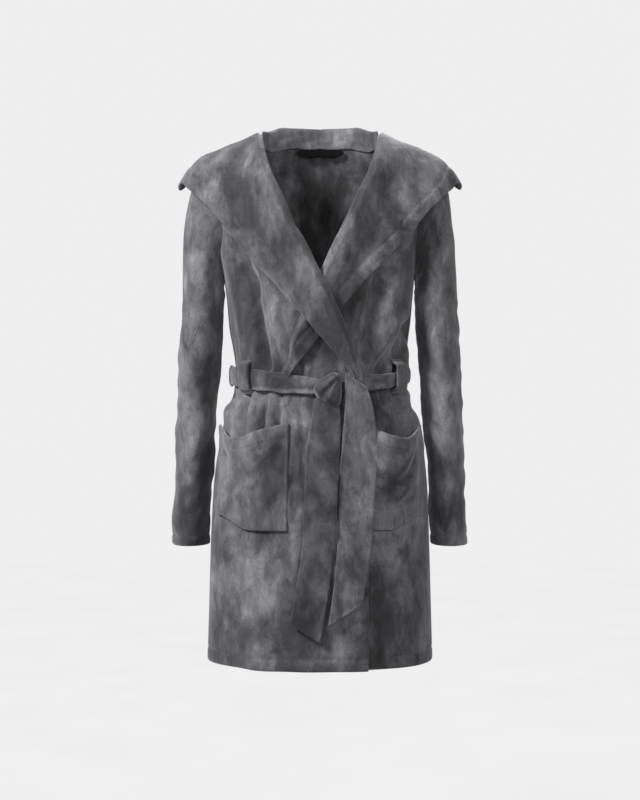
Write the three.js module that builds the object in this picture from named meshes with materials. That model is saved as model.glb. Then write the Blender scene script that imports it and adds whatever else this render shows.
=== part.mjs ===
// A short hooded wrap robe of plush fleece, as it hangs on the body: the right front lies over the
// left, the hood is folded down on the shoulders and the belt is tied in front.
// Millimetres, +Z up. The origin is the middle of the neck opening, at the height of the shoulders.
// The robe faces -Y, the wearer's right is -X and the wearer's left is +X.
import * as THREE from 'three';

// ---- Driving dimensions -------------------------------------------------------------------------

const CLOTH = 4;
const SEAM_GAP = 0.4;
const LAYER_GAP = 1.2;
const LAPEL_GAP = 2.9;

// Heights: drops below the origin, and distances from the waist.
const ROBE_DROP = 870;
const WAIST_DROP = 405;
const HIP_BELOW_WAIST = 170;
const FLARE_BELOW_WAIST = 45;
const RIB_ABOVE_WAIST = 105;
const ARMPIT_DROP = 205;
const CHEST_DROP = 150;

// Half widths and half depths of the body, outside the cloth.
const HEM_HALF_WIDTH = 191;
const HEM_HALF_DEPTH = 134;
const HIP_HALF_WIDTH = 180;
const HIP_HALF_DEPTH = 120;
const FLARE_HALF_WIDTH = 158;
const FLARE_HALF_DEPTH = 104;
const WAIST_HALF_WIDTH = 143;
const WAIST_HALF_DEPTH = 96;
const RIB_HALF_WIDTH = 154;
const RIB_HALF_DEPTH = 110;
const ARMPIT_HALF_WIDTH = 163;
const CHEST_HALF_WIDTH = 175;
const CHEST_HALF_DEPTH = 118;
const SECTION_POWER = 2.3;

// Shoulders and neck.
const NECK_HALF_WIDTH = 100;
const NECK_HALF_DEPTH = 78;
const NECK_PEAK = 66;
const SHOULDER_HALF_WIDTH = 180;
const SHOULDER_DROP = 18;
const CAPE_OVERHANG = 58;
const CAPE_TIP_FALL = 54;

// Sleeves.
const ARMHOLE_HALF_DEPTH = 58;
const SLEEVE_HEAD_DROP = 260;
const SLEEVE_DROP = 678;
const UPPER_SLEEVE_HALF_WIDTH = 35;
const UPPER_SLEEVE_HALF_DEPTH = 60;
const CUFF_HALF_WIDTH = 31;
const CUFF_HALF_DEPTH = 52;
const CUFF_FORWARD = 20;
const SLEEVE_CLEARANCE = 4;
const SLEEVE_HEAD_FALL = 8;
const CUFF_HEM = 17;

// The wrap.
const WRAP_LIFT = 13.2;
const WRAP_HALF_WIDTH = 74;
const FACING_WIDTH = 26;
const FACING_CLOTH = 1.8;
const SKIRT_HEM = 20;
const HEM_CLOTH = 5;

// The hood.
const CAPE_HEM = 22;
const NECK_BAND_HEIGHT = 38;
const POUCH_DROP = 285;
const POUCH_HALF_WIDTH = 148;
const POUCH_RIM_DROP = 100;
const POUCH_DEPTH = 45;

// Pockets.
const POCKET_BELOW_WAIST = 81;
const POCKET_HEIGHT = 156;
const POCKET_INNER = 46;
const POCKET_OUTER = 160;
const POCKET_HEM = 20;
const POCKET_GAPE = 20;

// Belt.
const BELT_HALF_HEIGHT = 19;
const BELT_CLOTH = 5;
const KNOT_HALF_WIDTH = 46;
const KNOT_HALF_HEIGHT = 25;
const KNOT_HALF_DEPTH = 16;
const KNOT_CENTRE = 33;
const TAIL_CLOTH = 7;
const TAIL_HALF_WIDTH = 27;
const TAIL_RIGHT_LENGTH = 384;
const TAIL_LEFT_LENGTH = 356;
const LOOP_CENTRE = 122;
const LOOP_HALF_WIDTH = 10;
const LOOP_CLOTH = 3;

// Neck label.
const LABEL_HALF_WIDTH = 42;
const LABEL_MITRE = 10;
const LABEL_HEIGHT = 13;
const LABEL_CLOTH = 1.2;
const LABEL_GAP = 0.2;
const LABEL_BELOW_EDGE = 1;

// ---- Materials ----------------------------------------------------------------------------------

const FLEECE = { color: 0x5a5a5e, roughness: 0.95, metalness: 0 };
const FLEECE_DARK = { color: 0x47474c, roughness: 0.95, metalness: 0 };
const SATIN = { color: 0x111114, roughness: 0.45, metalness: 0 };

const robe = new THREE.Group();

function add(name, geometry, finish) {
  const mesh = new THREE.Mesh(geometry, new THREE.MeshStandardMaterial(finish));
  mesh.name = name;
  robe.add(mesh);
}

// ---- Small helpers ------------------------------------------------------------------------------

const { lerp, clamp, smoothstep } = THREE.MathUtils;
const RIGHT_ANGLE = Math.PI / 2;

// A smooth curve through [position, value] pairs, read at any position between them.
function through(pairs, position) {
  const sorted = [...pairs].sort((a, b) => a[0] - b[0]);
  const slope = (i) => {
    const low = sorted[Math.max(i - 1, 0)];
    const high = sorted[Math.min(i + 1, sorted.length - 1)];
    return (high[1] - low[1]) / (high[0] - low[0]);
  };
  const last = sorted.length - 2;
  let i = 0;
  while (i < last && position > sorted[i + 1][0]) i += 1;
  const [start, first] = sorted[i];
  const [end, second] = sorted[i + 1];
  const span = end - start;
  const t = clamp((position - start) / span, 0, 1);
  const bend = (3 - 2 * t) * t * t;
  const entry = t * (1 - t) * (1 - t) * span * slope(i);
  const exit = t * t * (1 - t) * span * slope(i + 1);
  return lerp(first, second, bend) + entry - exit;
}

// Turn every face the other way where a mapping has mirrored the solid.
function faceOut(geometry) {
  const place = geometry.attributes.position;
  const index = geometry.index;
  const [a, b, c] = [new THREE.Vector3(), new THREE.Vector3(), new THREE.Vector3()];
  let volume = 0;
  for (let i = 0; i < index.count; i += 3) {
    a.fromBufferAttribute(place, index.getX(i));
    b.fromBufferAttribute(place, index.getX(i + 1));
    c.fromBufferAttribute(place, index.getX(i + 2));
    volume += a.dot(b.cross(c));
  }
  if (volume < 0) {
    for (let i = 0; i < index.count; i += 3) {
      const kept = index.getX(i + 1);
      index.setX(i + 1, index.getX(i + 2));
      index.setX(i + 2, kept);
    }
  }
  geometry.computeVertexNormals();
  return geometry;
}

// A sheet of cloth: point(u, v, w) runs u across it, v up it and w from its inner to its outer face.
function sheet(columns, rows, point) {
  const geometry = new THREE.BoxGeometry(1, 1, 1, columns, 1, rows);
  const place = geometry.attributes.position;
  for (let i = 0; i < place.count; i += 1) {
    const [x, y, z] = point(place.getX(i) + 0.5, place.getZ(i) + 0.5, place.getY(i) + 0.5);
    place.setXYZ(i, x, y, z);
  }
  return faceOut(geometry);
}

// A tube of cloth, open at both ends: point(turn, v, w) runs turn round it, v along it and w outwards.
function tube(around, rows, point) {
  const outer = Array.from({ length: rows + 1 }, (_, row) => [row / rows, 1]);
  const inner = Array.from({ length: rows + 1 }, (_, row) => [1 - row / rows, 0]);
  const profile = [...outer, ...inner, outer[0]];
  const geometry = new THREE.LatheGeometry(profile.map(([v, w]) => new THREE.Vector2(1 + w, v)), around);
  const place = geometry.attributes.position;
  for (let i = 0; i < place.count; i += 1) {
    const turn = (Math.floor(i / profile.length) % around) / around;
    const [v, w] = profile[i % profile.length];
    const [x, y, z] = point(turn, v, w);
    place.setXYZ(i, x, y, z);
  }
  return faceOut(geometry);
}

// The same sheet, thickened about surface(u, v) along its own normal.
function thicken(columns, rows, thickness, surface) {
  const STEP = 0.01;
  return sheet(columns, rows, (u, v, w) => {
    const at = new THREE.Vector3(...surface(u, v));
    const across = new THREE.Vector3(...surface(u + STEP, v)).sub(new THREE.Vector3(...surface(u - STEP, v)));
    const along = new THREE.Vector3(...surface(u, v + STEP)).sub(new THREE.Vector3(...surface(u, v - STEP)));
    const normal = across.cross(along).normalize();
    return at.addScaledVector(normal, (w - 0.5) * thickness).toArray();
  });
}

// ---- Heights that follow from the driving dimensions --------------------------------------------

const HEM_Z = -ROBE_DROP;
const WAIST_Z = -WAIST_DROP;
const HIP_Z = WAIST_Z - HIP_BELOW_WAIST;
const FLARE_Z = WAIST_Z - FLARE_BELOW_WAIST;
const RIB_Z = WAIST_Z + RIB_ABOVE_WAIST;
const ARMPIT_Z = -ARMPIT_DROP;
const CHEST_Z = -CHEST_DROP;
const BELT_TOP = WAIST_Z + BELT_HALF_HEIGHT;
const BELT_FOOT = WAIST_Z - BELT_HALF_HEIGHT;
const POCKET_TOP = WAIST_Z - POCKET_BELOW_WAIST;
const POCKET_FOOT = POCKET_TOP - POCKET_HEIGHT;
const CAPE_TIP_HALF_WIDTH = SHOULDER_HALF_WIDTH + CAPE_OVERHANG;
const POCKET_BAND_FOOT = POCKET_TOP - POCKET_HEM;

// ---- The form that the cloth lies on ------------------------------------------------------------

// `rise` runs over the body from front to back: below 0 it counts yoke heights down the front from the
// chest line, 0 to 1 goes up to the shoulder ridge, 1 to 2 down to the chest line behind, and on.
const YOKE = CHEST_DROP;

const BODY_HALF_WIDTH = [
  [HEM_Z, HEM_HALF_WIDTH],
  [HIP_Z, HIP_HALF_WIDTH],
  [FLARE_Z, FLARE_HALF_WIDTH],
  [WAIST_Z, WAIST_HALF_WIDTH],
  [RIB_Z, RIB_HALF_WIDTH],
  [ARMPIT_Z, ARMPIT_HALF_WIDTH],
  [CHEST_Z, CHEST_HALF_WIDTH],
];
const BODY_HALF_DEPTH = [
  [HEM_Z, HEM_HALF_DEPTH],
  [HIP_Z, HIP_HALF_DEPTH],
  [FLARE_Z, FLARE_HALF_DEPTH],
  [WAIST_Z, WAIST_HALF_DEPTH],
  [RIB_Z, RIB_HALF_DEPTH],
  [CHEST_Z, CHEST_HALF_DEPTH],
];
const RIDGE = [
  [0, NECK_PEAK],
  [NECK_HALF_WIDTH / 2, NECK_PEAK * 0.7],
  [NECK_HALF_WIDTH * 0.9, 5],
  [SHOULDER_HALF_WIDTH - 30, -6],
  [SHOULDER_HALF_WIDTH, -SHOULDER_DROP],
  [SHOULDER_HALF_WIDTH + 22, -SHOULDER_DROP - 9],
  [SHOULDER_HALF_WIDTH + 42, -SHOULDER_DROP - 28],
  [CAPE_TIP_HALF_WIDTH + 2, -SHOULDER_DROP - CAPE_TIP_FALL],
];

// How wide the section grows towards the ridge, and how soon: the body keeps to its shoulders, and the
// lapels lie over the sleeve heads.
const SHOULDER_SHARE = 0.842;
const CAPE_MARGIN = 12;
const TORSO = { reach: SHOULDER_HALF_WIDTH / SHOULDER_SHARE, haste: 1 };
const CAPE = { reach: CAPE_TIP_HALF_WIDTH + CAPE_MARGIN, haste: 0.45 };

const ridge = (x) => through(RIDGE, Math.abs(x));

// Rise of the point at height z over the ridge height `top`, in front; behind it is 2 minus this.
function riseAt(z, top) {
  if (z <= CHEST_Z) return (z - CHEST_Z) / YOKE;
  return Math.asin(clamp((z - CHEST_Z) / (top - CHEST_Z), 0, 1)) / RIGHT_ANGLE;
}

function halfWidth(rise, { reach, haste }) {
  const front = Math.min(rise, 2 - rise);
  if (front <= 0) return through(BODY_HALF_WIDTH, CHEST_Z + front * YOKE);
  return lerp(CHEST_HALF_WIDTH, reach, Math.sin(front * RIGHT_ANGLE) ** haste);
}

function halfDepth(rise) {
  const front = Math.min(rise, 2 - rise);
  if (front <= 0) return through(BODY_HALF_DEPTH, CHEST_Z + front * YOKE);
  return CHEST_HALF_DEPTH;
}

// The angle round the section that stands at the width x, and the width at an angle.
function angleAt(x, rise, over = TORSO) {
  const share = Math.min(Math.abs(x) / halfWidth(rise, over), 1);
  return Math.sign(x) * Math.asin(share ** (SECTION_POWER / 2));
}

function widthAt(angle, rise, over = TORSO) {
  return Math.sign(angle) * halfWidth(rise, over) * Math.abs(Math.sin(angle)) ** (2 / SECTION_POWER);
}

// A point `lift` above the outer face of the body cloth.
function formPoint(angle, rise, lift, over = TORSO) {
  const front = Math.min(rise, 2 - rise);
  const slant = Math.max(front, 0) * RIGHT_ANGLE;
  const stretch = (halfWidth(rise, over) + lift) / halfWidth(rise, over);
  const x = widthAt(angle, rise, over);
  const across = Math.max(Math.cos(angle), 0) ** (2 / SECTION_POWER);
  const depth = (halfDepth(rise) + lift) * across * Math.cos(slant);
  const z = front > 0
    ? CHEST_Z + (ridge(x) + lift - CHEST_Z) * Math.sin(slant)
    : CHEST_Z + front * YOKE;
  return [x * stretch, rise > 1 ? depth : -depth, z];
}

const onForm = (x, rise, lift, over) => formPoint(angleAt(x, rise, over), rise, lift, over);

// ---- The armhole --------------------------------------------------------------------------------

const ARM_ROWS = 8;
const ARM_CENTRE_Z = -(SHOULDER_DROP + ARMPIT_DROP) / 2;
const ARM_RADIUS = (ARMPIT_DROP - SHOULDER_DROP) / 2;
const ARM_CUTOFF = 0.9995;

// Where the armhole's edge crosses the height z, as [angle, rise] in front.
function armholeEdge(z) {
  const lean = clamp((z - ARM_CENTRE_Z) / ARM_RADIUS, -1, ARM_CUTOFF);
  const height = ARM_CENTRE_Z + ARM_RADIUS * lean;
  const rise = riseAt(height, -SHOULDER_DROP);
  const depth = halfDepth(rise) * Math.cos(Math.max(rise, 0) * RIGHT_ANGLE);
  const share = ARMHOLE_HALF_DEPTH * Math.sqrt(1 - lean * lean) / depth;
  return [Math.acos(clamp(share, 0, 1) ** (SECTION_POWER / 2)), rise];
}

// The body panels' rows: a row at each height where the body changes or a piece begins, then the
// armhole's own steps.
const PANEL_FOOT = HEM_Z + SKIRT_HEM + SEAM_GAP;
const PANEL_HEIGHTS = [
  PANEL_FOOT,
  lerp(PANEL_FOOT, POCKET_FOOT, 1 / 3),
  lerp(PANEL_FOOT, POCKET_FOOT, 2 / 3),
  POCKET_FOOT,
  lerp(POCKET_FOOT, HIP_Z, 0.5),
  HIP_Z,
  lerp(HIP_Z, POCKET_BAND_FOOT, 0.5),
  POCKET_BAND_FOOT,
  FLARE_Z,
  BELT_FOOT,
  BELT_TOP,
  lerp(BELT_TOP, RIB_Z, 0.6),
  RIB_Z,
  lerp(RIB_Z, ARMPIT_Z, 0.5),
  ARMPIT_Z,
];
const LOWER_ROWS = PANEL_HEIGHTS.length - 1;
const BODY_ROWS = LOWER_ROWS + ARM_ROWS;

function rowHeight(v) {
  const row = Math.round(v * BODY_ROWS);
  if (row <= LOWER_ROWS) return PANEL_HEIGHTS[row];
  const turn = Math.PI * (1 - (row - LOWER_ROWS) / ARM_ROWS);
  return ARM_CENTRE_Z + ARM_RADIUS * Math.cos(turn);
}

// A row's side edge, as [angle, rise] in front: the side seam, then the armhole.
function sideEdge(z) {
  if (z <= ARMPIT_Z) return [RIGHT_ANGLE, riseAt(z, -SHOULDER_DROP)];
  return armholeEdge(z);
}

// Sheets that meet at a side or shoulder seam stop half a gap short of it.
const SEAM_ANGLE = 0.002;

// ---- The back -----------------------------------------------------------------------------------

// The back neckline's rise at the width x.
function necklineRise(x) {
  const share = Math.min(Math.abs(x) / NECK_HALF_WIDTH, 1);
  const depth = NECK_HALF_DEPTH * Math.sqrt(1 - share * share);
  const angle = angleAt(x, 1.5);
  const section = CHEST_HALF_DEPTH * Math.cos(angle) ** (2 / SECTION_POWER);
  return 1 + Math.asin(clamp(depth / section, 0, 1)) / RIGHT_ANGLE;
}

// Rows run up to the neckline in the middle and to the shoulder seam at the sides.
function backPoint(u, v, lift) {
  const [edge, edgeRise] = sideEdge(rowHeight(v));
  const angle = (2 * u - 1) * (edge - SEAM_ANGLE);
  const rise = 2 - edgeRise;
  const armpitRise = 2 - riseAt(ARMPIT_Z, -SHOULDER_DROP);
  if (rise >= armpitRise) return formPoint(angle, rise, lift);
  const climb = (armpitRise - rise) / (armpitRise - 1);
  const top = Math.max(necklineRise(widthAt(angle, rise)), 1 + SEAM_ANGLE);
  return formPoint(angle, lerp(armpitRise, top, climb), lift);
}

const BACK_COLUMNS = 24;
add('back_panel', sheet(BACK_COLUMNS, BODY_ROWS, (u, v, w) => backPoint(u, v, (w - 1) * CLOTH)), FLEECE);

// ---- The fronts ---------------------------------------------------------------------------------

// Heights along the lapel, as shares of the way from the chest line down to the belt, and of the way
// from the neck down to the chest line.
const belowChest = (share) => lerp(CHEST_Z, BELT_TOP, share);
const aboveChest = (share) => CHEST_Z * share;

// The roll line, where a front turns out into the hood's lapel, as [height, half width] pairs for the
// wearer's right side; the left side is its mirror image.
const ROLL_LINE = [
  [HEM_Z, WRAP_HALF_WIDTH],
  [HIP_Z, WRAP_HALF_WIDTH - 2],
  [FLARE_Z, WRAP_HALF_WIDTH - 8],
  [WAIST_Z, 60],
  [belowChest(0.763), 41],
  [belowChest(0.47), 15],
  [belowChest(0.246), -8],
  [belowChest(0.06), -28],
  [aboveChest(0.76), -52],
  [aboveChest(0.453), -75],
  [aboveChest(0.16), -92],
  [5, -NECK_HALF_WIDTH],
];

const rollWidth = (z) => through(ROLL_LINE, z);

// The roll line's width at a given rise, found by stepping until width and height agree.
function rollWidthAt(rise) {
  let x = rollWidth(CHEST_Z + Math.min(rise, 1) * YOKE);
  for (let i = 0; i < 8; i += 1) {
    x = rollWidth(formPoint(angleAt(x, rise), rise, 0)[2]);
  }
  return x;
}

// The wrap stands out by this much less each side, over the ramp's length; the edge keeps the full lift.
const WRAP_RAMP = 60;
const WRAP_EDGE = 4;

// How far the over front stands out, so that the under front, its pocket and lapel pass beneath it.
function wrapLift(x, rise) {
  const across = smoothstep(x, -WRAP_HALF_WIDTH - WRAP_RAMP, -WRAP_HALF_WIDTH);
  const past = smoothstep(x, WRAP_HALF_WIDTH + WRAP_EDGE, WRAP_HALF_WIDTH + WRAP_RAMP);
  return WRAP_LIFT * across * (1 - past) * (1 - smoothstep(rise, 0.3, 0.95));
}

// side is -1 for the wearer's right and 1 for the left; u runs from the roll line to the side.
function frontPoint(side, u, v, w) {
  const [edge, rise] = sideEdge(rowHeight(v));
  const capped = Math.min(rise, 1 - SEAM_ANGLE);
  const inner = angleAt(rollWidthAt(capped), capped);
  const angle = lerp(-inner, edge - SEAM_ANGLE, u) * side;
  const lift = side < 0 ? wrapLift(widthAt(angle, capped), capped) : 0;
  return formPoint(angle, capped, lift + (w - 1) * CLOTH);
}

for (const [name, side] of [['right', -1], ['left', 1]]) {
  add(`front_panel_${name}`, sheet(12, BODY_ROWS, (u, v, w) => frontPoint(side, u, v, w)), FLEECE);
}

// Facings: the front edges' turned-in strips, against the panels' inner faces below the waist.
const FACING_ROWS = PANEL_HEIGHTS.indexOf(FLARE_Z);
for (const [name, side, lift] of [['right', -1, WRAP_LIFT], ['left', 1, 0]]) {
  add(`front_facing_${name}`, sheet(2, FACING_ROWS, (u, v, w) => {
    const z = PANEL_HEIGHTS[Math.round(v * FACING_ROWS)];
    const x = -side * (rollWidth(z) - 1 - u * FACING_WIDTH);
    const outer = lift - CLOTH - LAYER_GAP;
    return onForm(x, riseAt(z, 0), outer - (1 - w) * FACING_CLOTH);
  }), FLEECE_DARK);
}

// Hems: the panels' doubled lower edges.
function hemPoint(rise, angle, lift, w) {
  return formPoint(angle, rise, lift + 0.5 - (1 - w) * HEM_CLOTH);
}

const hemRise = (v) => riseAt(lerp(HEM_Z, HEM_Z + SKIRT_HEM, v), 0);

add('skirt_hem_back', sheet(16, 1, (u, v, w) => {
  const angle = (2 * u - 1) * (RIGHT_ANGLE - SEAM_ANGLE);
  return hemPoint(2 - hemRise(v), angle, 0, w);
}), FLEECE);
for (const [name, side] of [['right', -1], ['left', 1]]) {
  add(`skirt_hem_${name}`, sheet(10, 1, (u, v, w) => {
    const inner = -angleAt(WRAP_HALF_WIDTH, hemRise(v));
    const angle = lerp(inner, RIGHT_ANGLE - SEAM_ANGLE, u) * side;
    const lift = side < 0 ? wrapLift(widthAt(angle, hemRise(v)), hemRise(v)) : 0;
    return hemPoint(hemRise(v), angle, lift, w);
  }), FLEECE);
}

// ---- Sleeves ------------------------------------------------------------------------------------

// The sleeve's inner side keeps clear of the hips, so its middle line follows the body's half width.
const SLEEVE_INNER = [-SLEEVE_HEAD_DROP, HIP_Z, -SLEEVE_DROP]
  .map((z) => [z, through(BODY_HALF_WIDTH, z) + SLEEVE_CLEARANCE]);

// A level section of the sleeve: turn 0 is its outer side, a quarter turn its front.
function sleeveSection(z, turn, inset) {
  const down = (-SLEEVE_HEAD_DROP - z) / (SLEEVE_DROP - SLEEVE_HEAD_DROP);
  const wide = lerp(UPPER_SLEEVE_HALF_WIDTH, CUFF_HALF_WIDTH, down);
  const deep = lerp(UPPER_SLEEVE_HALF_DEPTH, CUFF_HALF_DEPTH, down);
  const middle = through(SLEEVE_INNER, z) + wide;
  const x = middle + (wide - inset) * Math.cos(turn);
  return [x, CUFF_FORWARD * down - (deep - inset) * Math.sin(turn), z];
}

// The armhole ring, with the same corners as the panels' edges.
function armholePoint(turn, lift) {
  const back = turn > Math.PI;
  const [angle, rise] = armholeEdge(ARM_CENTRE_Z + ARM_RADIUS * Math.cos(turn));
  const [x, y, z] = formPoint(angle, back ? 2 - rise : rise, lift);
  return [x + SEAM_GAP, y, z];
}

const HEAD_ROWS = 5;
const ARM_LENGTH_ROWS = 6;
const SLEEVE_ROWS = HEAD_ROWS + ARM_LENGTH_ROWS;

// The head curves from the armhole over to the first level section; below it the sleeve hangs.
function sleevePoint(turn, v, w) {
  const inset = (1 - w) * CLOTH;
  const row = v * SLEEVE_ROWS;
  const foot = -SLEEVE_DROP + CUFF_HEM + SEAM_GAP;
  if (row > HEAD_ROWS) {
    return sleeveSection(lerp(-SLEEVE_HEAD_DROP, foot, (row - HEAD_ROWS) / ARM_LENGTH_ROWS), turn, inset);
  }
  const t = row / HEAD_ROWS;
  const start = armholePoint(turn, -inset);
  const end = sleeveSection(-SLEEVE_HEAD_DROP, turn, inset);
  const control = [end[0], end[1], Math.max(start[2] - SLEEVE_HEAD_FALL, end[2])];
  return start.map((value, i) => (1 - t) ** 2 * value + 2 * t * (1 - t) * control[i] + t * t * end[i]);
}

const mirrored = (side, [x, y, z]) => [side * x, y, z];
const TURNS = 2 * ARM_ROWS;

for (const [name, side] of [['right', -1], ['left', 1]]) {
  add(`sleeve_${name}`, tube(TURNS, SLEEVE_ROWS, (turn, v, w) => (
    mirrored(side, sleevePoint(turn * 2 * Math.PI, v, w)))), FLEECE);
  add(`sleeve_hem_${name}`, tube(TURNS, 1, (turn, v, w) => {
    const z = lerp(-SLEEVE_DROP, -SLEEVE_DROP + CUFF_HEM, v);
    return mirrored(side, sleeveSection(z, turn * 2 * Math.PI, (1 - w) * HEM_CLOTH - 0.5));
  }), FLEECE);
}

// ---- The hood's lapels --------------------------------------------------------------------------

// The lapel's outer edge, as [half width, height] pairs from the waist up to the shoulder tip; each
// pairs with the roll line's height that lies across from it.
const LAPEL = [
  { roll: BELT_TOP + 2, edge: [42, BELT_TOP + 2] },
  { roll: belowChest(0.763), edge: [13, belowChest(0.83)] },
  { roll: belowChest(0.47), edge: [-33, belowChest(0.568)] },
  { roll: belowChest(0.246), edge: [-68, belowChest(0.377)] },
  { roll: belowChest(0.06), edge: [-111, belowChest(0.169)] },
  { roll: aboveChest(0.76), edge: [-0.647 * CAPE_TIP_HALF_WIDTH, aboveChest(0.926)] },
  { roll: aboveChest(0.453), edge: [-0.819 * CAPE_TIP_HALF_WIDTH, aboveChest(0.658)] },
  { roll: aboveChest(0.16), edge: [-0.937 * CAPE_TIP_HALF_WIDTH, aboveChest(0.533)] },
];
const CAPE_BACK = 0.17;
const CAPE_BACK_TIP = 0.45;
const LAPEL_ROWS = 16;
const LAPEL_FRONT = 14;

// [width, rise] of the lapel's roll line or outer edge, station by station, and then over the ridge.
function lapelLine(v, pick, ridgeWidth, backRise) {
  const row = v * LAPEL_ROWS;
  if (row > LAPEL_FRONT) {
    const over = (row - LAPEL_FRONT) / (LAPEL_ROWS - LAPEL_FRONT);
    return [-ridgeWidth, 1 + over * backRise];
  }
  const stations = LAPEL.map((station, i) => [i, pick(station)]);
  const at = row / LAPEL_FRONT * LAPEL.length;
  const widths = [...stations.map(([i, [x]]) => [i, x]), [LAPEL.length, -ridgeWidth]];
  const rises = stations.map(([i, [x, z]]) => [i, riseAt(z, ridge(x))]);
  return [through(widths, at), through([...rises, [LAPEL.length, 1]], at)];
}

const rollLine = (v) => lapelLine(v, ({ roll }) => [rollWidth(roll), roll], NECK_HALF_WIDTH, CAPE_BACK);
const edgeLine = (v) => lapelLine(v, ({ edge }) => edge, CAPE_TIP_HALF_WIDTH, CAPE_BACK_TIP);

// The share of the lapel's width that its hem takes.
function hemShare(v) {
  const [rollX] = rollLine(v);
  const [edgeX] = edgeLine(v);
  return Math.min(CAPE_HEM / Math.abs(rollX - edgeX), 0.6);
}

function lapelPoint(side, across, v, w, cloth) {
  const [rollX, rollRise] = rollLine(v);
  const [edgeX, edgeRise] = edgeLine(v);
  const x = lerp(rollX, edgeX, across) * -side;
  const rise = lerp(rollRise, edgeRise, across);
  const lift = (side < 0 ? wrapLift(x, rise) : 0) + LAPEL_GAP + w * cloth;
  return onForm(x, rise, lift, CAPE);
}

for (const [name, side] of [['right', -1], ['left', 1]]) {
  add(`hood_cape_${name}`, sheet(9, LAPEL_ROWS, (u, v, w) => (
    lapelPoint(side, u * (1 - hemShare(v)) - 0.003, v, w, CLOTH))), FLEECE);
  add(`hood_hem_${name}`, sheet(2, LAPEL_ROWS, (u, v, w) => (
    lapelPoint(side, lerp(1 - hemShare(v), 1, u) + 0.003, v, w, HEM_CLOTH))), FLEECE);
}

// ---- The hood's foot and pouch ------------------------------------------------------------------

// The nape layer starts behind the neck band in the middle and behind the lapels at the sides.
const NAPE_LIFT = 8;
const NAPE_GAP = 1;
const BAND_COLUMNS = [9, 15];
const NAPE_TOP = 1.6;

function napeTop(x) {
  const wide = Math.abs(x);
  const tip = (wide - NECK_HALF_WIDTH) / (CAPE_TIP_HALF_WIDTH - NECK_HALF_WIDTH);
  const behindLapel = 1.06 + lerp(CAPE_BACK, CAPE_BACK_TIP, Math.max(tip, 0));
  return lerp(NAPE_TOP, behindLapel, smoothstep(wide, 40, NECK_HALF_WIDTH + 8));
}

// A point of the back's top edge, on the straight line between two of its corners.
function backTop(column) {
  const first = Math.min(Math.floor(column), BACK_COLUMNS - 1);
  const start = backPoint(first / BACK_COLUMNS, 1, -CLOTH / 2);
  const end = backPoint((first + 1) / BACK_COLUMNS, 1, -CLOTH / 2);
  return start.map((value, i) => lerp(value, end[i], column - first));
}

function bandPoint(u, v) {
  const [x, innerY, innerZ] = backTop(lerp(...BAND_COLUMNS, u));
  const [, outerY, outerZ] = onForm(x, napeTop(x) - 0.02, NAPE_LIFT + CLOTH / 2);
  const height = NECK_BAND_HEIGHT * (1 - 0.6 * (2 * u - 1) ** 4);
  const t = clamp(v, 0, 1);
  const arch = 4 * t * (1 - t);
  const lean = lerp(innerY, Math.max(outerY, innerY + 12), t ** 1.5);
  return [x, lean, lerp(innerZ + LAYER_GAP, outerZ, t) + arch * height];
}

add('neck_band', thicken(12, 6, CLOTH, (u, v) => bandPoint(u, lerp(0.02, 0.98, v))), FLEECE);

// The pouch's lower edge and its rim, as heights by width.
function pouchFoot(x) {
  return -POUCH_DROP + (POUCH_DROP - CHEST_DROP) * (x / POUCH_HALF_WIDTH) ** 2;
}
function pouchRim(x) {
  return -POUCH_RIM_DROP + 10 * (x / POUCH_HALF_WIDTH) ** 2;
}

const behind = (z, x) => 2 - riseAt(z, ridge(x));

function napePoint(side, u, v, w) {
  const x = side * lerp(SEAM_GAP, POUCH_HALF_WIDTH, u);
  const rise = lerp(behind(pouchFoot(x), x), napeTop(x), v);
  const puff = (NAPE_LIFT - LAYER_GAP) * smoothstep(v, 0, 0.4);
  return onForm(x, rise, NAPE_GAP + puff + w * CLOTH);
}

function crownPoint(side, u, share, w, cloth) {
  const x = side * lerp(SEAM_GAP, POUCH_HALF_WIDTH, u);
  const z = lerp(pouchFoot(x), pouchRim(x), share);
  const bulge = (1 - 0.9 * u * u) * POUCH_DEPTH * Math.sin(Math.min(share * 1.25, 1) * RIGHT_ANGLE);
  const clear = CLOTH + LAYER_GAP + SEAM_GAP + (NAPE_LIFT - LAYER_GAP) * smoothstep(share, 0, 0.4);
  return onForm(x, behind(z, x), clear + bulge + w * cloth);
}

const RIM_SHARE = 0.86;
for (const [name, side] of [['right', -1], ['left', 1]]) {
  add(`hood_nape_${name}`, sheet(7, 6, (u, v, w) => napePoint(side, u, v, w)), FLEECE_DARK);
  add(`hood_crown_${name}`, sheet(7, 6, (u, v, w) => (
    crownPoint(side, u, v * (RIM_SHARE - 0.004), w, CLOTH))), FLEECE);
}
add('hood_edge_back', sheet(14, 1, (u, v, w) => {
  const across = 2 * u - 1;
  return crownPoint(Math.sign(across) || 1, Math.abs(across), lerp(RIM_SHARE, 1, v), w, HEM_CLOTH);
}), FLEECE);

// ---- Neck label ---------------------------------------------------------------------------------

// It hangs inside the back neckline, a little clear of the cloth, with mitred ends.
add('neck_label', sheet(6, 1, (u, v, w) => {
  const half = lerp(LABEL_HALF_WIDTH - LABEL_MITRE, LABEL_HALF_WIDTH, v);
  const x = lerp(-half, half, u);
  const [, y, z] = onForm(x, necklineRise(x), -CLOTH);
  return [x, y - LABEL_GAP - (1 - w) * LABEL_CLOTH, z - LABEL_BELOW_EDGE - (1 - v) * LABEL_HEIGHT];
}), SATIN);

// ---- Pockets ------------------------------------------------------------------------------------

// A pocket's rows lie level with the panels' own.
const POCKET_ROWS = PANEL_HEIGHTS.filter((z) => z >= POCKET_FOOT && z <= POCKET_BAND_FOOT);

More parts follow.
